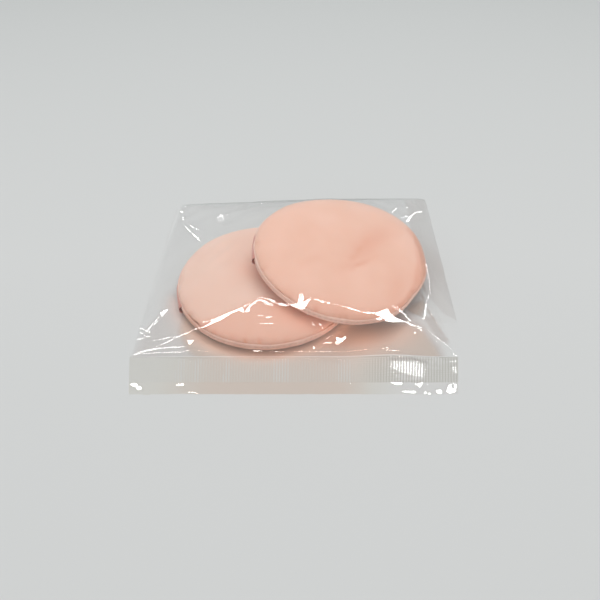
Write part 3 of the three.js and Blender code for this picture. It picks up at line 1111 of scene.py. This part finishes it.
# what shines on the film, in pixels of the photograph: each line with its width in millimetres
filmLines = [
    (0.10, [(200.3, 322.9), (207.6, 321.4), (216.8, 318), (227, 313.6), (240.3, 308.6), (251.1, 302.8)]),
    (0.10, [(251.1, 302.8), (257.5, 297.9), (261, 296.9)]),
    (0.16, [(261, 297.3), (266, 298.6), (272.5, 299.7)]),
    (0.40, [(272.5, 299.7), (275, 302), (277.9, 304.6), (284, 305.2), (291.4, 305)]),
    (0.30, [(264.1, 304), (268, 303.4), (272, 304.2), (274, 305.6), (269, 304.8)]),
    (0.30, [(257.8, 315.1), (262, 315.5), (266, 317.2), (272.3, 316.9)]),
    (0.14, [(260.6, 322.9), (266, 323.2), (272.3, 323.6)]),
    (0.16, [(312.4, 298.3), (320.5, 301.3), (330.1, 303.4), (342.3, 306)]),
    (0.22, [(342.6, 306.1), (350, 308.4), (357, 310.6), (363, 312.1)]),
    (0.36, [(363.4, 312.2), (366, 312.6), (372, 313.4), (375.2, 313.7)]),
    (0.34, [(390.8, 305.3), (397, 308.8), (402.3, 312.6), (407.4, 318.1), (412, 322.4)]),
    (0.10, [(393.6, 304.4), (399.6, 308.4), (404.5, 312.6), (408.6, 317.4)]),
    (0.34, [(404, 321.6), (408, 323.4), (411, 325), (415.7, 327)]),
    (0.30, [(416.4, 326.6), (418.8, 327), (421.4, 328.4)]),
    (0.05, [(425, 329), (435, 336.8), (446.3, 344.6), (455, 352)]),
    (0.06, [(428, 309), (433, 317), (438.4, 325.7)]),
    (0.20, [(310.6, 321), (313, 324), (316.8, 327)]),
    (0.24, [(317.9, 323), (321, 326), (324.6, 330)]),
    (0.30, [(323.5, 343.1), (325, 340.6), (328.6, 337), (332.4, 335.2), (335, 336.4)]),
    (0.26, [(323.5, 343.5), (328, 342.8), (333, 343.4)]),
    (0.22, [(160.2, 317), (157, 319.8), (153, 323.7), (147.8, 330.5)]),
    (0.10, [(160, 317.5), (157, 321.5), (153.5, 326), (150.6, 330)]),
    (0.12, [
        (152.3, 340.2), (157, 340), (161.8, 339), (168, 337.2), (175.2, 336.3), (181, 337.8), (185.8, 339.8),
    ]),
    (0.20, [
        (131.7, 356.6), (136, 354.6), (142, 352), (147.3, 350.2), (154, 348.8), (161.8, 348), (173, 347.4),
        (185.3, 346.9),
    ]),
    (0.06, [(133, 355.6), (137.3, 353), (145, 350), (155, 347.4)]),
    (0.08, [(138, 356.6), (154, 356.2), (163, 355.4), (171.9, 354.1), (183, 351.8), (193, 349)]),
    (0.09, [(195.3, 349), (202, 353.6), (208.7, 358.2)]),
    (0.34, [(253.9, 350.8), (257, 351.4), (262.3, 352.6)]),
    (0.10, [(270, 356.2), (277, 356.5), (284.6, 356.8)]),
    (0.06, [(290, 355.8), (305, 356.2), (321.3, 356.4), (336.9, 355.2), (352.5, 353.6), (357, 350.6)]),
    (0.06, [(358, 350.8), (366, 350.4), (373.7, 350.8)]),
    (0.24, [(383.8, 348), (388, 350.6), (392, 353), (398.3, 355.8)]),
    (0.16, [(384.9, 352.5), (388.6, 355), (392.7, 357)]),
    (0.12, [(376, 345.4), (379, 346.8), (382, 350), (386, 351)]),
]
# flat places that shine, each by its corners
filmFacets = [
    [(292, 304.2), (297, 303.8), (298.4, 301), (301.5, 301), (304, 302.6), (311.3, 297.4), (307.6, 302.6),
     (304.6, 308.6), (301, 310.2), (297.5, 307.4), (292, 306.2)],
    [(301.8, 300), (302.2, 290.5), (302.8, 300)],
    [(299.2, 300), (299.6, 292), (300.1, 300)],
    [(376, 312.9), (382, 310.9), (387.8, 308.2), (388.9, 312), (392.1, 315.4), (396.6, 318.2), (403, 320.6),
     (403, 322.2), (393, 321.9), (386.3, 321.4), (384.6, 318.6), (380, 316.4), (376, 314.4)],
    [(376.1, 319), (378.5, 317.6), (382, 318), (382.6, 319.8), (378.8, 319.9)],
    [(336, 336.6), (338.4, 338.4), (341, 338.2), (346.9, 336.3), (344, 339.6), (341, 342.4), (337.4, 344.6),
     (334.4, 343.4), (337, 340.6)],
    [(160.8, 313.4), (163, 311.4), (166, 309.6), (167.6, 310), (165, 313.4), (161.8, 316.4)],
    [(187.2, 340.2), (190.4, 341), (194, 340), (191.4, 343.2), (189.6, 345)],
    [(306.3, 314.4), (307.6, 313.7), (308.6, 315.2), (307.2, 316.3)],
    [(313.2, 347.2), (314.4, 346.6), (314.8, 348.2), (313.6, 349)],
    [(419.8, 329.4), (421.2, 329), (421.8, 330.4), (420.4, 331)],
]
# streaks: width and step in pixels, then the line
filmStreaks = [
    (0.6, 1.8, [(184.9, 226.3), (188.6, 229.6), (192.4, 233.8)]),
    (1.2, 1.8, [(192.8, 234.4), (196.2, 237.2), (200, 241)]),
    (0.5, 1.8, [(189.8, 225), (192.4, 226.9), (195.6, 228.8), (199.6, 229.4)]),
    (0.9, 1.4, [(181, 212.8), (182.4, 211.6)]),
    (0.4, 1.8, [(183, 217), (184, 220.6)]),
    (0.6, 1.5, [(217, 217.4), (220.4, 217), (223.7, 216)]),
    (0.4, 1.5, [(218.4, 220.4), (221.6, 219.8), (224.6, 218.6)]),
    (0.8, 1.4, [(219.8, 215.6), (222.4, 215)]),
    (0.7, 1.4, [(226.4, 214.2), (228.8, 213.6)]),
    (0.8, 1.8, [(392.4, 212.7), (396.3, 208.3)]),
    (0.8, 1.4, [(406.4, 207.8), (408, 207.4)]),
    (1.2, 1.8, [(406.7, 221.6), (410.6, 216.8), (414.6, 212.8)]),
    (0.6, 1.8, [(415.4, 212.4), (419, 211.6), (422.5, 211.2)]),
    (0.4, 1.8, [(400.8, 217.7), (404.8, 217), (408.7, 216.2)]),
    (0.45, 2.4, [(426, 263), (428.9, 280), (430.3, 294)]),
    (0.5, 2.4, [(429.8, 295), (426, 301.4)]),
    (0.9, 1.8, [(426, 303.8), (425.2, 309.8), (425, 316.4), (423.2, 319.4)]),
    (0.5, 1.8, [(140.6, 331.8), (143, 334.4), (146.2, 336.3), (152.3, 336.8)]),
    (0.5, 1.8, [(141, 328), (145, 330.4), (150, 332.4)]),
    (0.5, 1.8, [(137.3, 339.3), (142.9, 339.3)]),
]


def filmOutline():
    # the film's plan, with the notch at the right where a flap of it ends
    x = sideAt(rightLine, pouch["notchY"])
    notch = [(x - pouch["notchIn"], pouch["notchY"]), (x, pouch["notchY"])]
    right = [corner for corner in rightLine[1:-1] if corner[1] > pouch["notchY"]]
    back = [tuple(spot.xy) for spot in reversed(backEdge)]
    return [leftLine[0], rightLine[0]] + notch + right + back + leftLine[-2:0:-1]


def rightEdge(y):
    if y >= pouch["notchY"]:
        return sideAt(rightLine, y)
    share = (pouch["notchY"] - y) / (pouch["notchY"] - filmFront)
    inner = sideAt(rightLine, pouch["notchY"]) - pouch["notchIn"]
    return inner + (rightLine[0][0] - inner) * share


def keptInside(x, y):
    margin = pouch["margin"]
    y = min(max(y, filmFront + margin), backAt(x) - margin)
    return min(max(x, sideAt(leftLine, y) + margin), rightEdge(y) - margin), y


# the doubled flap of film along the right side, darker as two layers, with painted shadow darkest beside the
# upper puff; its inner edge in millimetres
flap = {
    "inner": [(60, -26.5), (50.5, -17), (52.5, 0), (50.5, 20), (52, 45), (54, 64)], "soft": 0.6 * mm,
    "start": 1 * mm, "darkY": 5 * mm, "darkReach": 14 * mm, "light": 0.2, "dark": 0.5,
}


def flapShade(x, y):
    edge = np.array(flap["inner"]) * mm
    inner = float(np.interp(y, edge[:, 1], edge[:, 0]))
    behind = smoothStep(pouch["notchY"], pouch["notchY"] + flap["start"], y)
    inside = smoothStep(inner, inner + flap["soft"], x) * behind
    near = math.exp(-((y - flap["darkY"]) / flap["darkReach"]) ** 2)
    return inside * (flap["light"] + (flap["dark"] - flap["light"]) * near)


# painted shade on the film: warm shadow and bounced light in front of the puffs and beside the upper one, the
# upper puff's reflection in the fold beside it, and darker lines along the flap's folded edges; strength,
# fade in pixels and place in pixels
shadePatches = [
    (0.8, 14, [
        (187, 320), (193, 330), (206, 340), (225, 349), (262, 354), (300, 352), (332, 342), (347, 333),
        (400, 327), (420, 334), (432, 350), (436, 358), (203, 358), (190, 346), (184, 332),
    ]),
    (0.35, 14, [
        (174, 300), (185, 320), (204, 340), (215, 358), (140, 358), (150, 338), (160, 326), (168, 318),
    ]),
    (0.75, 2.5, [(408, 309), (413, 304), (423, 301), (424.5, 306), (421, 315), (413, 313)]),
    (0.5, 2, [(425, 318), (433, 317), (447, 343), (438, 338)]),
    (0.8, 1.0, [(423.3, 274), (423.5, 288.8), (422.6, 303.6), (423.4, 289)]),
    (0.7, 1.0, [(427.4, 308.6), (438.3, 327.4), (449.2, 342.2), (438, 327.8)]),
]


def filmShade(spot):
    # painted shade: darker at the doubled flap and in the upper puff's shadow beside it, warm where the
    # puffs' shadow and bounced light fall under the film
    return max(flapShade(spot.x, spot.y), patchShade(spot, shadePatches))


# places of the sealed band that curl up: how far their fall reaches, and their corners
curlsSeen = [
    (4 * mm, [
        (391, 361.5), (413, 361), (424, 363.5), (424, 370), (422, 378), (412, 376), (400, 372.5),
        (391, 367.5),
    ]),
    (1.2 * mm, [(447, 362.4), (456.4, 359.6), (456.4, 361.6), (449, 363)]),
    (1.2 * mm, [(450.7, 368), (455.8, 365), (456.4, 373.5), (453.5, 371.5)]),
]


def makeCurls():
    # places along the mouth that are raised to shine, with a soft fall round them
    made = []
    for reach, seen in curlsSeen:
        spot = seenOnTable(np.mean(seen, axis=0), crimp["seenAt"])
        shape = facetShape(seen, spot, lambda x, y: crimp["level"] + mouthBase(x, y))
        shape["reach"] = reach
        made.append(shape)
    return made


def curlRise(curl, x, y):
    lowX, lowY, highX, highY = curl["box"]
    reach = curl["reach"]
    if not (lowX - reach < x < highX + reach and lowY - reach < y < highY + reach):
        return 0
    spot, away = Vector((x, y)), 0
    loop = curl["inner"]
    if not insideLoop(x, y, loop):
        sides = [nearestOn(x, y, a, b) for a, b in zip(loop, loop[1:] + loop[:1])]
        spot, away, share = min(sides, key=lambda side: side[1])
    slopeX, slopeY, level = curl["plane"]
    over = level + slopeX * spot.x + slopeY * spot.y - crimp["level"] - mouthBase(*spot)
    return (1 - smoothStep(0, reach, away)) * max(over, 0)


def makeTopFilm():
    below = coverTree()
    loose = tentTree([])
    supports = [liftedOn(loose, (u, v), lift * mm) for u, v, lift in shoulderFold]
    tent = tentTree(supports)
    heights = makeHeights(tent, below)
    foldEnd = Vector((rightEdge(filmFront), filmFront))
    foldLine = [tuple(spot.xy) for spot in supports + [foldEnd]]
    foldTree = placeTree(resampled(foldLine, facet["foldStep"])[0])

    def ground(x, y):
        # rounded bends, but crisp beside the fold
        soft = heightAt(heights, x, y)
        near = 1 - smoothStep(*pouch["crisp"], foldTree.find((x, y, 0))[2])
        if near == 0:
            return soft
        crisp = heightOn(tent, x, y, pouch["edgeHeight"]) + mouthWave(x, y)
        return max(soft + (crisp - soft) * near, heightOn(below, x, y, 0) + pouch["overCloth"])

    def seenOnFilm(pixel):
        return seenOn(tent, pixel) or seenOnTable(pixel, pouch["edgeHeight"])

    def planOf(pixels):
        return [keptInside(*seenOnFilm(pixel).xy) for pixel in pixels]

    shapes = [lineShape(planOf(seen), wide * mm, ground) for wide, seen in filmLines]
    streaks = [part for wide, step, seen in filmStreaks for part in streakFacets(wide, seen, step)]
    shapes += [facetShape(seen, seenOnFilm(np.mean(seen, axis=0)), ground) for seen in filmFacets + streaks]
    foldEdges = foldLine[:-1] + [keptInside(*foldLine[-1])]
    bm = shapedSheet(filmOutline(), shapes, creaseLines(foldEdges, shapes), pouch["cell"], ground)
    for vertex in bm.verts:
        floor = heightOn(below, vertex.co.x, vertex.co.y, 0) + pouch["overCloth"]
        vertex.co.z = max(vertex.co.z, floor)
    topTree = BVHTree.FromBMesh(bm)
    piece = makeFilm("pouchTopFilm", bm, clearFilm, pouch["filmThickness"], 1)
    # painted shade and shadow on the top film
    paint(piece, "shade", [filmShade(vertex.co) for vertex in piece.data.vertices])
    standFor(piece, "pouch_top_film")
    inset, edge = pouch["edgeInset"], pouch["edgeHeight"]
    return [heightOn(topTree, spot.x, spot.y - inset, edge) for spot in backEdge]


def makeFilm(name, bm, material, thickness, offset):
    # film is so clear that it takes no light from what lies under it
    piece = makePiece(name, bm, material, keepShading=True)
    piece.visible_shadow = False
    piece.visible_diffuse = False
    thicken(piece, thickness, offset)
    piece.modifiers["thickness"].use_rim = False
    return piece


backCurl = {"reach": 12 * mm, "under": 0.6 * mm, "bulge": 0.25 * mm, "leastHalf": 0.05 * mm}
lowFilm = {"high": 0.12 * mm, "wave": 0.06 * mm, "waveSize": 14 * mm, "cell": 2 * mm}


def backHeight(x):
    # how high the top film's back edge lies
    return float(np.interp(x, [spot.x for spot in backEdge], backHeights))


def lowHeight(x, y):
    # the bottom film: on the table, and curled up with the top film along the back
    curl = smoothStep(backAt(x) - backCurl["reach"], backAt(x), y) * max(backHeight(x) - backCurl["under"], 0)
    wave = lowFilm["wave"] * ripple(x / lowFilm["waveSize"], y / lowFilm["waveSize"], 2)
    return lowFilm["high"] + wave + curl


def makeBottomFilm():
    bm = shapedSheet(filmOutline(), [], [], lowFilm["cell"], lowHeight)
    piece = makeFilm("pouchBottomFilm", bm, clearFilm, pouch["filmThickness"], 0)
    standFor(piece, "pouch_bottom_film")
    return piece


def filmGrid(across, along, smooth=True):
    bm = bmesh.new()
    bmesh.ops.create_grid(bm, x_segments=across, y_segments=along, size=1)
    for face in bm.faces:
        face.smooth = smooth
    return bm


weld = {"wide": 0.6 * mm, "over": 0.2 * mm, "wave": 0.1 * mm, "waveSize": 6 * mm}


def makeWeld(name, node, line, side, start):
    bm = filmGrid(2, 90)
    end = backAt(line[-1][0])
    for vertex in bm.verts:
        y = start + (end - start) * (vertex.co.y + 1) / 2
        x = sideAt(line, y) + side * weld["wide"] * (vertex.co.x + 1) / 2
        wave = weld["wave"] * ripple(y / weld["waveSize"], 3)
        vertex.co = Vector((x, y, lowHeight(x, y) + weld["over"] + wave))
    piece = makeFilm(name, bm, clearFilm, pouch["weldThickness"], 0)
    standFor(piece, node)
    return piece


def makeBackFold():
    bm = filmGrid(160, 6)
    for vertex in bm.verts:
        x = backEdge[0].x + (backEdge[-1].x - backEdge[0].x) * (vertex.co.x + 1) / 2
        turn = vertex.co.y * math.pi / 2
        low, high = lowHeight(x, backAt(x)), backHeight(x)
        middle, half = (high + low) / 2, max((high - low) / 2, backCurl["leastHalf"])
        y = backAt(x) + backCurl["bulge"] * math.cos(turn)
        vertex.co = Vector((x, y, middle + half * math.sin(turn)))
    piece = makeFilm("pouchBackFold", bm, clearFilm, pouch["filmThickness"], 0)
    standFor(piece, "pouch_back_fold")
    return piece


# the sealed band's embossed mesh: faint at the left, sharp at the right
crimp = {
    "pitch": 1.06 * mm, "groove": 0.3 * mm, "level": 0.45 * mm, "sharpFrom": 14 * mm, "sharpTo": 34 * mm,
    "deepAcross": 0.26 * mm, "faintAcross": 0.03 * mm, "deepAlong": 0.04 * mm, "faintAlong": 0.01 * mm,
    "litAlong": 0.082 * mm, "warmFrom": (-58 * mm, -30 * mm), "warmTo": (12 * mm, 42 * mm),
    "paleLine": 0.4, "paleRow": 0.25, "darkShade": 0.6, "seenAt": 0.8 * mm,
    "patchy": 0.6, "patch": 1.5 * mm,
}
# the stretches along X in mm where its lines show more, and the shining parts of its rows: half width in mm,
# then the line in pixels of the photograph
crimpGroups = [(-47.8, -44.7), (-40.8, -38.5), (-29.3, -26.6), (-10.4, -3.9), (13.9, 19.6)]
litRows = [
    (0.6, [(400, 357.2), (418, 357.4), (431, 357.8)]),
    (0.75, [(421, 363.4), (427, 362.6), (434, 361.8), (449, 361.4)]),
    (1.6, [(433, 355.4), (439, 361)]),
    (0.5, [(424, 366.5), (432, 367.2), (440, 367)]),
    (0.7, [(397, 376.6), (410, 378), (423, 377)]),
    (0.5, [(391, 358), (386, 361.2), (384, 366)]),
    (0.5, [(352, 347), (356, 351), (362, 352), (364, 349)]),
]


def grooved(count):
    # shares of a width with three lines to each groove, and which of them lie at the bottom of one
    shares, bottoms = [0.0], [False]
    half = crimp["groove"] / crimp["pitch"]
    for index in range(count):
        shares += [(index + 0.5 - half) / count, (index + 0.5) / count, (index + 0.5 + half) / count]
        bottoms += [False, True, False]
    return shares + [1.0], bottoms + [False]


def warmShade(x):
    # painted shade: the puffs' warm shadow and bounced light on the sealed film in front of them, grey at the
    # left
    return (0.5 + 0.5 * smoothStep(*crimp["warmFrom"], x)) * (1 - smoothStep(*crimp["warmTo"], x))


def makeCrimp():
    corners = [Vector(corner) for corner in planCorners("pouch_mouth_crimp")]
    frontLeft, frontRight, backRight, backLeft = corners
    across, columnBottoms = grooved(round((frontRight - frontLeft).length / crimp["pitch"]))
    along, rowBottoms = grooved(round((backLeft - frontLeft).length / crimp["pitch"]))
    rows = [(wide * mm, [seenOnTable(pixel, crimp["seenAt"]).xy for pixel in seen]) for wide, seen in litRows]
    bm = filmGrid(len(across) - 1, len(along) - 1, smooth=False)
    meshed, shades = [], []
    for vertex in bm.verts:
        column = round((vertex.co.x + 1) / 2 * (len(across) - 1))
        row = round((vertex.co.y + 1) / 2 * (len(along) - 1))
        left, right = frontLeft.lerp(backLeft, along[row]), frontRight.lerp(backRight, along[row])
        x, y = left.lerp(right, across[column])
        sharp = smoothStep(crimp["sharpFrom"], crimp["sharpTo"], x)
        group = any(low * mm < x < high * mm for low, high in crimpGroups)
        smooth = any(inShape(x, y, curl, "inner") for curl in curls)
        lit = any(nearLine(x, y, line)[0] < wide for wide, line in rows)
        deepX = crimp["faintAcross"] + (crimp["deepAcross"] - crimp["faintAcross"]) * sharp
        deepY = crimp["faintAlong"] + (crimp["deepAlong"] - crimp["faintAlong"]) * sharp
        deepY *= 1 + crimp["patchy"] * ripple(x / crimp["patch"], y / crimp["patch"], 5)
        deepY = 0 if smooth else crimp["litAlong"] if lit else deepY
        dent = max(deepX if columnBottoms[column] else 0, deepY if rowBottoms[row] else 0)
        vertex.co = Vector((x, y, crimp["level"] + mouthWave(x, y) - dent))
        pale = (1 if group else crimp["paleLine"]) if columnBottoms[column] else 0
        pale = (1 - sharp) * max(pale, crimp["paleRow"] if rowBottoms[row] else 0)
        dark = sharp if columnBottoms[column] or rowBottoms[row] and not smooth and not lit else 0
        meshed.append(pale - dark)
        # painted shade: the puffs' warm shadow and bounced light, paler along the embossed lines, grey at the
        # sharp mesh's groove bottoms
        shades.append(warmShade(x) * (1 - pale) + crimp["darkShade"] * dark * (1 - warmShade(x)))
    piece = makeFilm("pouchMouthCrimp", bm, sealedFilm, pouch["sealThickness"], 0)
    paint(piece, "shade", shades)
    paint(piece, "mesh", meshed)
    paint(piece, "lines", [0.5 + 0.5 * value for value in meshed])
    standFor(piece, "pouch_mouth_crimp")
    return piece


# what shines on the lip in front of the band, in the same way
lipFacets = [
    [(129.6, 383.6), (137, 383.4), (136.4, 386.2), (133.6, 386.8)],
    [(136.2, 387.4), (139, 386), (141.8, 388), (139.4, 390), (136.8, 389.4)],
    [(142.9, 393.6), (150.1, 393.6), (150.1, 395), (142.9, 395)],
    [(176.3, 384.6), (184.2, 383.6), (184.2, 385), (176.6, 385.8)],
    [(391, 382.2), (401.6, 382.8), (401.4, 384.4), (396, 385)],
    [(402.7, 391), (415, 391.4), (415.4, 393), (403, 392.2)],
    [(413.3, 382.6), (417, 384.6), (422.8, 382.6), (419.6, 387)],
    [(424, 391.4), (430.6, 393.2), (429.6, 394), (424.4, 392.8)],
    [(436.2, 390.4), (441.8, 389.6), (441.4, 393.8), (437.4, 393)],
    [(446.3, 390.8), (449.4, 384.4), (452, 384), (450.6, 388.6), (454.6, 388.4), (456, 391.2), (450, 393.6)],
    [(452, 383.8), (456.4, 383.6), (456.4, 387.6), (454, 386.6)],
]
lipLines = [
    (0.24, [(184.2, 394.6), (188.6, 392.4), (192, 391.7), (196.4, 392.9), (199.2, 394.4)]),
    (0.14, [(338, 384.3), (335.8, 388.2), (338, 392)]),
    (0.20, [(343, 384), (345.4, 386.4), (348.6, 385.6), (350.3, 384)]),
    (0.20, [(427.3, 383.1), (430.4, 383.8), (432.9, 386)]),
]
lip = {
    "wavy": (-58.5 * mm, -64.3 * mm), "wave": 0.35 * mm, "waveSize": (8 * mm, 14 * mm), "calm": 0.3,
    "high": 0.7 * mm, "cell": 0.9 * mm,
}


def makeLip():
    def ground(x, y):
        free = lip["calm"] + (1 - lip["calm"]) * smoothStep(*lip["wavy"], y)
        wave = lip["wave"] * ripple(x / lip["waveSize"][0], y / lip["waveSize"][1], 9) * free
        return crimp["level"] + mouthWave(x, y) + abs(wave)

    def planOf(pixels):
        return [tuple(seenOnTable(pixel, lip["high"]).xy) for pixel in pixels]

    shapes = [lineShape(planOf(seen), wide * mm, ground) for wide, seen in lipLines]
    spots = [seenOnTable(np.mean(seen, axis=0), lip["high"]) for seen in lipFacets]
    shapes += [facetShape(seen, spot, ground) for seen, spot in zip(lipFacets, spots)]
    bm = shapedSheet(planCorners("pouch_mouth_lip"), shapes, [], lip["cell"], ground)
    piece = makeFilm("pouchMouthLip", bm, frontFilm, pouch["sealThickness"], 0)
    # painted shade: the puffs' warm shadow and bounced light on the lip
    paint(piece, "shade", [warmShade(vertex.co.x) for vertex in piece.data.vertices])
    standFor(piece, "pouch_mouth_lip")
    return piece


curls = makeCurls()
backHeights = makeTopFilm()
makeBottomFilm()
makeWeld("pouchLeftWeld", "pouch_left_weld", leftLine, -1, filmFront)
makeWeld("pouchRightWeld", "pouch_right_weld", rightLine, 1, pouch["notchY"])
makeBackFold()
makeCrimp()
makeLip()
print("pouch made")


# Table and light

# the table's colour is painted darker further back, a painted shade where less light falls
table = {
    "reach": 3, "near": (0.632, 0.646, 0.642), "far": (0.51, 0.53, 0.525), "fade": (0.02, 0.5),
    "roughness": 0.6, "specular": 0.2,
}


def makeFloor():
    bm = bmesh.new()
    bmesh.ops.create_grid(bm, x_segments=1, y_segments=1, size=table["reach"])
    material, tree, output = startMaterial("paleTable")
    surface = addNode(tree, "ShaderNodeBsdfPrincipled", Roughness=table["roughness"])
    axes = addNode(tree, "ShaderNodeSeparateXYZ")
    tree.links.new(addNode(tree, "ShaderNodeTexCoord").outputs["Object"], axes.inputs[0])
    # painted shade: darker further back
    colour = shadeRange(tree, axes.outputs["Y"], *table["fade"], table["near"], table["far"])
    tree.links.new(colour, surface.inputs["Base Color"])
    surface.inputs["Specular IOR Level"].default_value = table["specular"]
    tree.links.new(surface.outputs["BSDF"], output.inputs["Surface"])
    floor = makePiece("table", bm, material)


def makeLamp(name, size, place, target, radiance, colour, diffuse, only=None):
    # a lamp that either lights what it reaches or is mirrored in it
    lampData = bpy.data.lights.new(name, "AREA")
    lampData.shape = "RECTANGLE"
    lampData.size, lampData.size_y = size
    lampData.color = colour
    lampData.energy = radiance * math.pi * size[0] * size[1]
    lamp = bpy.data.objects.new(name, lampData)
    lamp.location = place
    lamp.rotation_euler = (Vector(place) - Vector(target)).to_track_quat("Z", "Y").to_euler()
    lamp.visible_camera = False
    lamp.visible_diffuse = diffuse
    lamp.visible_glossy = not diffuse
    if only:
        lamp.light_linking.receiver_collection = only
    scene.collection.objects.link(lamp)


# rows of peach lamps round the puffs' front edges: from and to which angle, how far out and up in mm,
# radiance, size in mm, colour, and how steeply they point down to the table, or 0 where they light the puff
glowArcs = {
    "lower": [
        (188, 222, 41, -0.9, 0.6, (12, 2.5), "glowColour", -8),
        (222, 335, 41, -0.9, 1.0, (14, 2.5), "glowColour", -8),
        (200, 345, 60, 3, 0.36, (30, 12), "sideColour", 0),
    ],
    "upper": [
        (225, 262, 41, -1.0, 0.4, (14, 3), "glowColour", -8),
        (262, 292, 40.4, -2.2, 1.8, (14, 4), "glowColour", -4),
        (292, 318, 42.5, -1.2, 0.8, (14, 6), "glowColour", -3),
        (215, 350, 60, 6, 0.38, (30, 12), "sideColour", 0),
    ],
}


def makeGlow(prefix):
    # the peach light that comes through the puffs and back from the film round their front edges
    place = seamPlane(prefix)
    lit = bpy.data.collections.new(prefix + "Lit")
    for part in ("FaceCover", "EdgeBinding"):
        lit.objects.link(bpy.data.objects[prefix + part])
    for arc, (start, end, out, up, radiance, size, colour, rise) in enumerate(glowArcs[prefix]):
        count = max(round(math.radians(end - start) * out / size[0]), 1)
        for index in range(count):
            angle = math.radians(start + (end - start) * (index + 0.5) / count)
            away = Vector((math.cos(angle), math.sin(angle), 0))
            spot = place @ (away * out * mm + Vector((0, 0, up * mm)))
            target = spot + (away if rise else -away) + Vector((0, 0, rise))
            shape = (size[0] * mm, size[1] * mm)
            name = f"{prefix}Glow{arc}{index}"
            makeLamp(name, shape, spot, target, radiance, lightSetup[colour], True, None if rise else lit)


def makeLight():
    world = bpy.data.worlds.new("studio")
    scene.world = world
    world.use_nodes = True
    tree = world.node_tree
    place = addNode(tree, "ShaderNodeTexCoord").outputs["Generated"]
    axes = addNode(tree, "ShaderNodeSeparateXYZ")
    height = addNode(tree, "ShaderNodeMapRange")
    height.inputs["To Min"].default_value = lightSetup["horizon"]
    height.inputs["To Max"].default_value = lightSetup["zenith"]
    tree.links.new(place, axes.inputs[0])
    tree.links.new(axes.outputs["Z"], height.inputs["Value"])
    tree.links.new(height.outputs["Result"], tree.nodes["Background"].inputs["Strength"])
    tree.nodes["Background"].inputs["Color"].default_value = (1, 1, 1, 1)
    for name, diffuse in (("window", True), ("glint", False)):
        size, spot, radiance = (lightSetup[name + key] for key in ("Size", "Place", "Radiance"))
        makeLamp(name + "Lamp", size, spot, (0, 0, 0), radiance, (1, 1, 1), diffuse)
    for prefix in puffs:
        makeGlow(prefix)


makeFloor()
makeLight()

print("light and table made")
